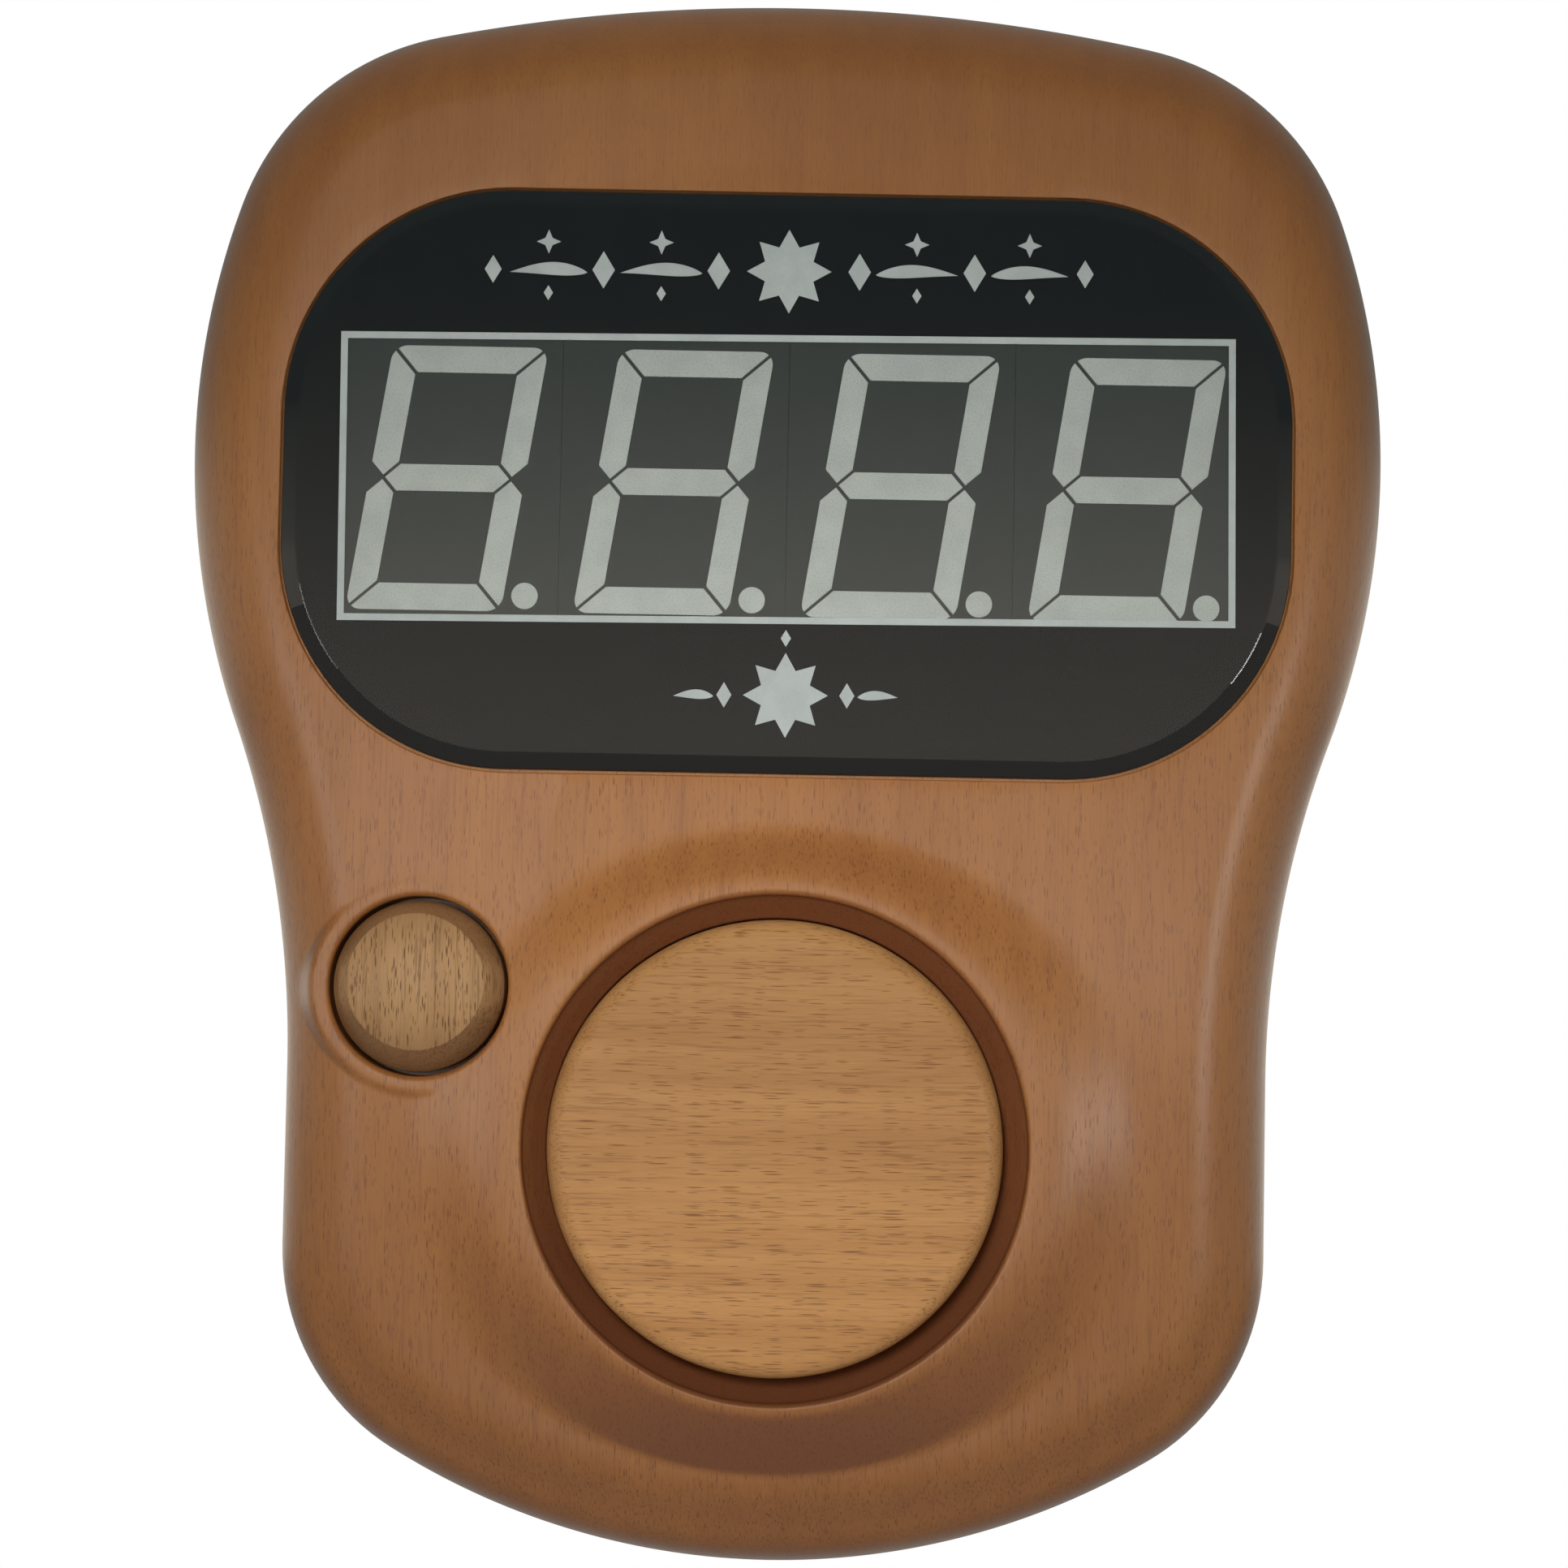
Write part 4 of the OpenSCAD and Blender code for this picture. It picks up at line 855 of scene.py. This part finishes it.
def socket_bore(shell, mouth, inner_mouth):
    """The stepped bore from the bottom edge into the rear pocket."""
    seat_y = SOCKET_SEAT - HALF_H

    def ring(r):
        loop = circle((0, SOCKET_Z), r, BORE_SIDES)
        return shell.add(np.column_stack((loop[:, 0], np.full(len(loop), seat_y), loop[:, 1])))

    shell.loft([shell.add(mouth), ring(SOCKET_SEAT_R), ring(SOCKET_BORE_R), shell.add(inner_mouth)])


def pocket_walls(shell):
    """The rear pocket, its ledge, the deeper pocket behind the display and the holes under the buttons."""
    rebate = pocket(POCKET_INSET - LEDGE_W, POCKET_TOP + LEDGE_W)
    rim = pocket(POCKET_INSET, POCKET_TOP)
    shell.wall(rebate, 0, COVER_T)
    shell.sheet(rebate, (rim,), lift=COVER_T)
    inner_mouth = side_wall(shell, rim, POCKET_INSET, COVER_T, POCKET_Z, SOCKET_BORE_R)
    board = pane(GLASS_C, *BOARD_POCKET, count=4)
    opening = rectangle(GLASS_C, *OPENING)
    bushes = [circle(g, BUSH_R) for g in GUIDES]
    striker = circle(COUNT_C, STRIKER_HOLE_R)
    head = circle(RESET_C, HEAD_POCKET_R)
    shell.sheet(rim, (board, *bushes, striker, head), lift=POCKET_Z)
    shell.wall(board, POCKET_Z, SKIN_Z)
    shell.sheet(board, (opening,), lift=SKIN_Z)
    shell.wall(opening, SKIN_Z, RECESS_Z)
    for hole in (*bushes, striker):
        shell.wall(hole, POCKET_Z, WELL_Z)
    shell.sheet(circle(COUNT_C, BORE_R, WELL_SIDES), (*bushes, striker), lift=WELL_Z)
    reset_bush = circle(RESET_C, BUSH_R)
    shell.wall(head, POCKET_Z, RESET_WEB_Z)
    shell.sheet(head, (reset_bush,), lift=RESET_WEB_Z)
    shell.wall(reset_bush, RESET_WEB_Z, RESET_WELL_Z)
    shell.sheet(circle(RESET_C, RESET_WELL_R, RESET_SIDES), (reset_bush,), lift=RESET_WELL_Z)
    return rebate, opening, inner_mouth


def case_skin():
    """The whole case: front, sides, wells, rear pocket, socket bore and hanger recesses."""
    shell = Shell()

    def window(d):
        return pane(GLASS_C, GLASS_W, GLASS_H, GLASS_R, -GLASS_GAP - d, count=RECESS_STEPS)

    def well(d):
        return circle(COUNT_C, WELL_R + d, WELL_SIDES)

    def reset(d):
        return circle(RESET_C, RESET_WELL_R + d, RESET_SIDES)

    case_front(shell, window(WINDOW_LIP), well(LIP), reset(LIP))
    eased_well(shell, window, WINDOW_LIP, front_height(window(WINDOW_LIP)), RECESS_Z)
    eased_well(shell, well, LIP, front_height(well(LIP)), WELL_WALL_Z)
    ease = 0.3
    funnel = [(WELL_R, WELL_WALL_Z), (WELL_R - ease, WELL_WALL_Z - 0.7 * LIP),
              (BORE_R + ease, WELL_STEP_Z + 0.5), (BORE_R, WELL_STEP_Z), (BORE_R, WELL_Z)]
    shell.loft([shell.ring(circle(COUNT_C, r, WELL_SIDES), z) for r, z in funnel])
    eased_well(shell, reset, LIP, front_height(reset(LIP)), RESET_WELL_Z)
    mouth = case_sides(shell)
    rebate, opening, inner_mouth = pocket_walls(shell)
    shell.sheet(window(0), (opening,), lift=RECESS_Z)
    socket_bore(shell, mouth, inner_mouth)
    recesses = [pane(h, *HANGER_RECESS, count=4) for h in HANGERS]
    shell.sheet(outline(BACK_EDGE_R), (rebate, *recesses), lift=0.0)
    for place, recess in zip(HANGERS, recesses):
        space = pane(place, *HANGER_SPACE, count=12)
        shell.wall(recess, 0, HANGER_T)
        shell.sheet(recess, (space,), lift=HANGER_T)
        shell.wall(space, HANGER_T, HANGER_SPACE_Z)
        shell.sheet(space, lift=HANGER_SPACE_Z)
    shell.build("case_skin", CASE_WOOD, "housing", ["wood_case"])


# Window
def glass_pane():
    """The bevelled pane, its edges eased a little."""
    shell = Shell()
    low, high = GLASS_LOW[2], GLASS_HIGH[2]
    ease = 0.25
    # Distance from the edge and height of each step
    section = [(ease, low), (0, low + ease), (0, high - BEVEL_H - ease), (0.05, high - BEVEL_H),
               (ease, high - BEVEL_H + ease), (BEVEL_W - ease, high - ease * 0.8), (BEVEL_W, high - 0.06),
               (BEVEL_W + ease, high)]

    def loop(inset):
        return pane(GLASS_C, GLASS_W, GLASS_H, GLASS_R, inset, count=PANE_STEPS)

    shell.loft([shell.ring(loop(inset), z) for inset, z in section])
    shell.sheet(loop(section[0][0]), lift=low)
    shell.sheet(loop(section[-1][0]), lift=high)
    shell.build("glass_pane", GLASS, "housing", ["display_glass"], 12)


def printed(loop):
    """A loop turned as the print sits on the glass, a little askew."""
    return GLASS_C + turned(loop - GLASS_C, math.radians(PRINT_TURN))


def flat_ring(name, material, outer, inner, replaced):
    """A printed area with an opening, sunk a little into the glass."""
    shell = Shell()
    top = GLASS_LOW[2] + PRINT_SINK
    for loop in (outer, inner):
        shell.wall(loop, MASK_Z, top)
    for z in (MASK_Z, top):
        shell.sheet(outer, (inner,), lift=z)
    shell.build(name, material, "housing", [replaced])


def window_prints():
    """The black print and the white line round the digits."""
    w, h = (FRAME_HIGH - FRAME_LOW)[:2] - 2 * FRAME_TRIM
    centre = (FRAME_HIGH + FRAME_LOW)[:2] / 2
    outer = printed(rectangle(centre, w, h))
    inner = printed(rectangle(centre, w - 2 * FRAME_LINE, h - 2 * FRAME_LINE))
    edge = pane(GLASS_C, GLASS_W, GLASS_H, GLASS_R, MASK_INSET, count=PANE_STEPS)
    flat_ring("mask_print", BLACK_PRINT, edge, outer, "window_mask")
    flat_ring("frame_print", WHITE_PRINT, outer, inner, "frame_line")


# Buttons
def button(name, material, body, centre, section, rooms, count, top_shift=(0, 0)):
    """A turned button with the seats for its springs and guide screws in its underside. It takes the place
    of the node that is named like its body."""
    shell = Shell()
    low = section[0][1]
    top_c = np.array(centre) + top_shift
    sides, top = section[:-2], section[-2:]
    rings = [shell.ring(circle(centre, r, count), z) for r, z in sides]
    shell.loft(rings + [shell.ring(circle(top_c, r, count), z) for r, z in top])
    shell.sheet(circle(top_c, section[-1][0], count), lift=section[-1][1])
    seats = []
    for place, steps in rooms:
        seats.append(circle(place, steps[0][0]))
        level = low
        for i, (r, depth) in enumerate(steps):
            shell.wall(circle(place, r), level, low + depth)
            following = [circle(place, steps[i + 1][0])] if i + 1 < len(steps) else []
            shell.sheet(circle(place, r), following, lift=low + depth)
            level = low + depth
    shell.sheet(circle(centre, section[0][0], count), seats, lift=low)
    shell.build(name, material, body, [body])


def buttons():
    r, edge, high = COUNT_R, COUNT_EDGE_R, COUNT_HIGH[2]
    arc = np.radians(np.linspace(0, 90, 9))
    section = [(r, COUNT_LOW[2])]
    section += [(r - edge * (1 - math.cos(a)), high - edge * (1 - math.sin(a))) for a in arc]
    rooms = [(g, GUIDE_ROOM) for g in GUIDES] + [(COUNT_C, STRIKER_ROOM)]
    button("count_cap", COUNT_WOOD, "count_button", COUNT_C, section, rooms, COUNT_SIDES)
    r, ease, high = RESET_R, 0.18, RESET_HIGH[2]
    foot = high - RESET_CHAMFER_DROP
    section = [(r, RESET_LOW[2]), (r, foot - 2 * ease), (r - 0.4 * ease, foot - 0.6 * ease),
               (r - ease, foot + ease), (r - RESET_CHAMFER + 0.6 * ease, high - ease),
               (r - RESET_CHAMFER - ease, high)]
    rooms = [(RESET_C, GUIDE_ROOM)]
    button("reset_cap", RESET_WOOD, "reset_button", RESET_C, section, rooms, RESET_SIDES,
           RESET_TOP_SHIFT)


# Springs
SPRING_R = 5.0
SPRING_WIRE = 1.0
SPRING_TURNS = 5
SPRING_SEAT = 5.0
SPRING_PLAY = 0.2
# Share of the rise that starts and ends softly
SPRING_EASED = 0.35


def coil(shell, centre, low, high):
    """A round wire wound up between two heights, flatter at both ends."""
    steps, sides = 28, 10
    turns = np.arange(SPRING_TURNS * steps + 1) / steps
    ends = (smooth_step(0, 2, turns) + smooth_step(SPRING_TURNS - 2, SPRING_TURNS, turns)) / 2
    rise = SPRING_EASED * ends + (1 - SPRING_EASED) * turns / SPRING_TURNS
    z = low + (high - low) * rise
    a = 2 * np.pi * turns
    out = np.column_stack((np.cos(a), np.sin(a)))
    rings = []
    for direction, height in zip(out, z):
        loop = []
        for b in 2 * np.pi * np.arange(sides) / sides:
            reach = SPRING_R + SPRING_WIRE / 2 * math.cos(b)
            loop.append((*(np.array(centre) + reach * direction), height + SPRING_WIRE / 2 * math.sin(b)))
        rings.append(shell.add(loop))
    shell.loft(rings)
    shell.faces += [tuple(rings[0]), tuple(rings[-1])]


def springs(name, places, floor_z, seat_z, replaced):
    """Return springs, which the button squeezes as it goes in; here they are wound at rest, between the floor
    and the button's seat.
    """
    shell = Shell()
    play = SPRING_PLAY + SPRING_WIRE / 2
    for place in places:
        coil(shell, place, floor_z + play, seat_z - play)
    piece = shell.build(name, SPRING, "housing", [replaced])
    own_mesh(piece)


def return_springs():
    seat_z = COUNT_LOW[2] + SPRING_SEAT
    springs("count_coils", GUIDES, WELL_Z, seat_z, "count_springs")
    seat_z = RESET_LOW[2] + SPRING_SEAT
    springs("reset_coil", [RESET_C], RESET_WELL_Z, seat_z, "reset_spring")


# Screws on the back
SCREW_HEAD_R = 3.0
SCREW_HEAD_H = 1.9
SCREW_SHANK_R = 1.45
SCREW_SINK = 0.2
SCREW_LEN = 13.0
SCREW_EDGE = 0.12
SCREW_RIM = 0.1
SCREW_POINT = 1.5
SCREW_TIP_R = 0.3
SCREW_TURN = 0.7
CROSS_ARM = 1.75
CROSS_HALF_W = 0.36
CROSS_DEPTH = 1.3
CROSS_FOOT_ARM = 0.55 * CROSS_ARM
CROSS_FOOT_HALF_W = 0.7 * CROSS_HALF_W


def cross(centre, arm, half, turn):
    """Outline of a cross recess, turned by an angle."""
    quarter = np.array([(half, half), (half, arm), (-half, arm)])
    points = [turned(quarter[::-1], turn - k * math.pi / 2) for k in range(4)]
    return np.array(centre) + np.vstack(points)


def back_screws(name, places, replaced):
    """Countersunk cross-head screws, each turned its own way."""
    shell = Shell()
    for i, place in enumerate(places):
        top_r = SCREW_HEAD_R - SCREW_EDGE
        turn = SCREW_TURN * i
        slot = cross(place, CROSS_ARM, CROSS_HALF_W, turn)
        foot = cross(place, CROSS_FOOT_ARM, CROSS_FOOT_HALF_W, turn)
        shell.sheet(circle(place, top_r, SCREW_SIDES), (slot,), lift=SCREW_SINK)
        shell.strip(shell.ring(slot, SCREW_SINK), shell.ring(foot, SCREW_SINK + CROSS_DEPTH))
        shell.sheet(foot, lift=SCREW_SINK + CROSS_DEPTH)
        section = [(top_r, SCREW_SINK), (SCREW_HEAD_R, SCREW_SINK + SCREW_RIM),
                   (SCREW_SHANK_R, SCREW_SINK + SCREW_HEAD_H), (SCREW_SHANK_R, SCREW_LEN - SCREW_POINT),
                   (SCREW_TIP_R, SCREW_LEN)]
        shell.loft([shell.ring(circle(place, r, SCREW_SIDES), z) for r, z in section])
        shell.sheet(circle(place, SCREW_TIP_R, SCREW_SIDES), lift=SCREW_LEN)
    shell.build(name, ZINC, "housing", [replaced])


def screw_places(node):
    """Middles of the separate solids of a node."""
    bm = bmesh.new()
    bm.from_mesh(frame["nodes"][node].data)
    bmesh.ops.remove_doubles(bm, verts=bm.verts, dist=NODE_WELD)
    found = []
    unseen = set(bm.verts)
    while unseen:
        stack = [unseen.pop()]
        island = []
        while stack:
            v = stack.pop()
            island.append((v.co.x / MM, v.co.z / MM))
            near = {e.other_vert(v) for e in v.link_edges} & unseen
            unseen -= near
            stack += near
        island = np.array(island)
        found.append((island.min(axis=0) + island.max(axis=0)) / 2)
    bm.free()
    return sorted(found, key=lambda c: (round(c[0], 2), round(c[1], 2)))


# Printed ornament: stars, diamonds and tapered rules in a band above the digits and a shorter one below
def star(centre, r, points=8, waist=0.62):
    a = np.pi * np.arange(2 * points) / points
    reach = np.where(np.arange(2 * points) % 2 == 0, r, r * waist)
    return np.array(centre) + reach[:, None] * np.column_stack((np.sin(a), np.cos(a)))


def diamond(centre, w, h):
    return np.array(centre) + np.array([(0, h / 2), (w / 2, 0), (0, -h / 2), (-w / 2, 0)])


def taper(centre, length, thick, lean):
    """A rule that swells near one end, with a slight curve."""
    t = np.linspace(0, 1, 25)
    half = thick / 2 * np.sin(np.pi * t ** lean)
    bow = 0.05 * length * np.sin(np.pi * t)
    x = (t - 0.5) * length
    upper = np.column_stack((x, bow + half))
    lower = np.column_stack((x, bow - half))[::-1][1:-1]
    return np.array(centre) + np.vstack((upper, lower))


def mirrored(loop):
    return (loop * (-1, 1))[::-1]


def ornament():
    """Thin plates of print, the same on both sides of the middle."""
    shell = Shell()
    low = GLASS_LOW[2] + PRINT_SINK / 2
    high = GLASS_LOW[2] + 1.6 * PRINT_SINK
    top_y = GLASS_C[1] + 45.5
    foot_y = GLASS_C[1] - 45.0
    loops = [star((0, top_y), 9.0), star((0, foot_y), 9.0), diamond((0, foot_y + 12.1), 2.2, 3.6)]
    sides = []
    for x, size in ((15.0, 8.0), (39.5, 8.0), (63.0, 6.0)):
        sides.append(diamond((x, top_y), size * 0.6, size))
    for x, length in ((27.2, 17.5), (51.2, 16.5)):
        sides.append(taper((x, top_y - 0.6), length, 2.8, 0.75))
        sides.append(star((x, top_y + 6.0), 2.6, 4, 0.42))
        sides.append(diamond((x, top_y - 5.0), 2.0, 3.2))
    sides += [diamond((13.0, foot_y), 3.2, 5.4), taper((19.5, foot_y - 0.3), 8.5, 2.0, 0.75)]
    for loop in loops + sides + [mirrored(loop) for loop in sides]:
        shell.plate(printed(loop), low, high)
    shell.build("window_ornament", WHITE_PRINT, "housing")


# Stage: places in metres, the lens in millimetres, the roll in degrees
CAMERA_AT = (0.0005, -0.835, -0.052)
CAMERA_AIM = (0.0005, -0.040, -0.003)
CAMERA_LENS = 86.7
SENSOR_W = 36.0
CAMERA_ROLL = 1.075
FLOOR_DROP = 0.30
FLOOR_HALF = 3.0
PANEL_AIM = (0.0, -0.04, -0.06)


def placed(name, data, at, aim):
    """A new object at a place, turned to look at another place."""
    made = bpy.data.objects.new(name, data)
    bpy.context.scene.collection.objects.link(made)
    made.location = at
    made.rotation_mode = "QUATERNION"
    made.rotation_quaternion = (Vector(aim) - Vector(at)).to_track_quat("-Z", "Y")
    return made


def camera():
    data = bpy.data.cameras.new("camera")
    data.lens = CAMERA_LENS
    data.sensor_width = SENSOR_W
    made = placed("camera", data, CAMERA_AT, CAMERA_AIM)
    roll = Quaternion((0, 0, 1), math.radians(CAMERA_ROLL))
    made.rotation_quaternion = made.rotation_quaternion @ roll
    bpy.context.scene.camera = made


def lamp(name, kind, at, aim, power, **settings):
    data = bpy.data.lights.new(name, kind)
    data.energy = power
    for key, value in settings.items():
        setattr(data, key, value)
    made = placed(name, data, at, aim)
    made.visible_camera = False
    return made


def spot(name, *, at, aim, power, angle, blend=1.0, soft=0.10):
    """A lamp that lights surfaces and shows neither in mirrors nor through glass."""
    made = lamp(name, "SPOT", at, aim, power, spot_size=math.radians(angle), spot_blend=blend,
                shadow_soft_size=soft)
    made.visible_glossy = False
    made.visible_transmission = False


def panel(name, *, at, power, w, h):
    """A flat lamp that shows as a sheen."""
    lamp(name, "AREA", at, PANEL_AIM, power, shape="RECTANGLE", size=w, size_y=h)


def lights():
    spot("key_spot", at=(-0.08, -1.0, 0.135), aim=(0.0, -0.04, -0.025), power=16.4, angle=20)
    spot("upper_spot", at=(-0.15, -1.0, 0.25), aim=(0.0, -0.04, -0.02), power=11.2, angle=40)
    spot("top_spot", at=(0.0, -0.10, 1.25), aim=(0.0, -0.04, 0.10), power=12, angle=26, blend=0.7)
    for x in (-0.6, 0.6):
        spot("back_spot", at=(x, 1.1, 0.3), aim=(0.0, 0.0, 0.0), power=25, angle=34, blend=0.6, soft=0.15)
    panel("front_strip", at=(0.0, -0.90, -0.03), power=0.36, w=0.50, h=0.05)
    panel("left_window", at=(-0.48, -0.85, -0.05), power=0.50, w=0.30, h=0.20)
    panel("right_window", at=(0.55, -0.86, -0.09), power=0.62, w=0.15, h=0.13)


def soft_light(nodes, way):
    """Soft light of the room: little from the front, more from behind and above."""
    behind = nodes.mix(nodes.remap(way[2], -0.4, 0.5), (0.10, 0.10, 0.10), (0.42, 0.415, 0.40))
    return nodes.mix(nodes.remap(way[1], 0.05, 0.6), (0.01, 0.01, 0.0105), behind)


def room_colour(nodes, way):
    """White, but in mirrors the room dims from a warm horizon to a cooler ceiling."""
    rise = nodes.remap(way[2], 0.05, 0.20)
    mirrored_room = nodes.mix(rise, (1.0, 0.92, 0.80), (0.20, 0.25, 0.25))
    return nodes.mix(nodes.ray("Is Glossy Ray"), (1, 1, 1), mirrored_room)


def world():
    made = bpy.data.worlds.new("studio")
    bpy.context.scene.world = made
    made.use_nodes = True
    nodes = Nodes(made.node_tree)
    place = nodes.node("ShaderNodeTexCoord").outputs["Generated"]
    way = nodes.node("ShaderNodeSeparateXYZ", Vector=place).outputs
    soft = nodes.node("ShaderNodeBackground", Color=soft_light(nodes, way), Strength=1.0).outputs[0]
    room = nodes.node("ShaderNodeBackground", Color=room_colour(nodes, way), Strength=1.0).outputs[0]
    mixed = nodes.node("ShaderNodeMixShader", i0=nodes.background_share(), i1=soft, i2=room)
    nodes.node("ShaderNodeOutputWorld", Surface=mixed.outputs[0])


def floor():
    z = CAD_BOX[0].z - FLOOR_DROP
    corners = [(x * FLOOR_HALF, y * FLOOR_HALF, z) for x, y in ((-1, -1), (1, -1), (1, 1), (-1, 1))]
    mesh = bpy.data.meshes.new("floor")
    mesh.from_pydata(corners, [], [(0, 1, 2, 3)])
    f = Finish("pale_floor", Roughness=0.9)
    f.set(Base_Color=f.mix(f.noise((90.0,) * 3, 3.0), (0.80, 0.80, 0.79), (0.84, 0.84, 0.83)))
    tint = f.mix(f.ray("Is Glossy Ray"), (1, 1, 1), (0.40, 0.38, 0.35))
    white = f.node("ShaderNodeEmission", Color=tint, Strength=1.0)
    mesh.materials.append(f.blend(f.background_share(), white))
    made = bpy.data.objects.new("floor", mesh)
    bpy.context.scene.collection.objects.link(made)


camera()
world()
floor()
lights()
case_skin()
glass_pane()
window_prints()
ornament()
buttons()
return_springs()
back_screws("cover_fasteners", screw_places("cover_screws"), "cover_screws")
back_screws("hanger_fasteners", screw_places("hanger_screws"), "hanger_screws")
finish_nodes()

bpy.context.scene.view_settings.view_transform = "Standard"
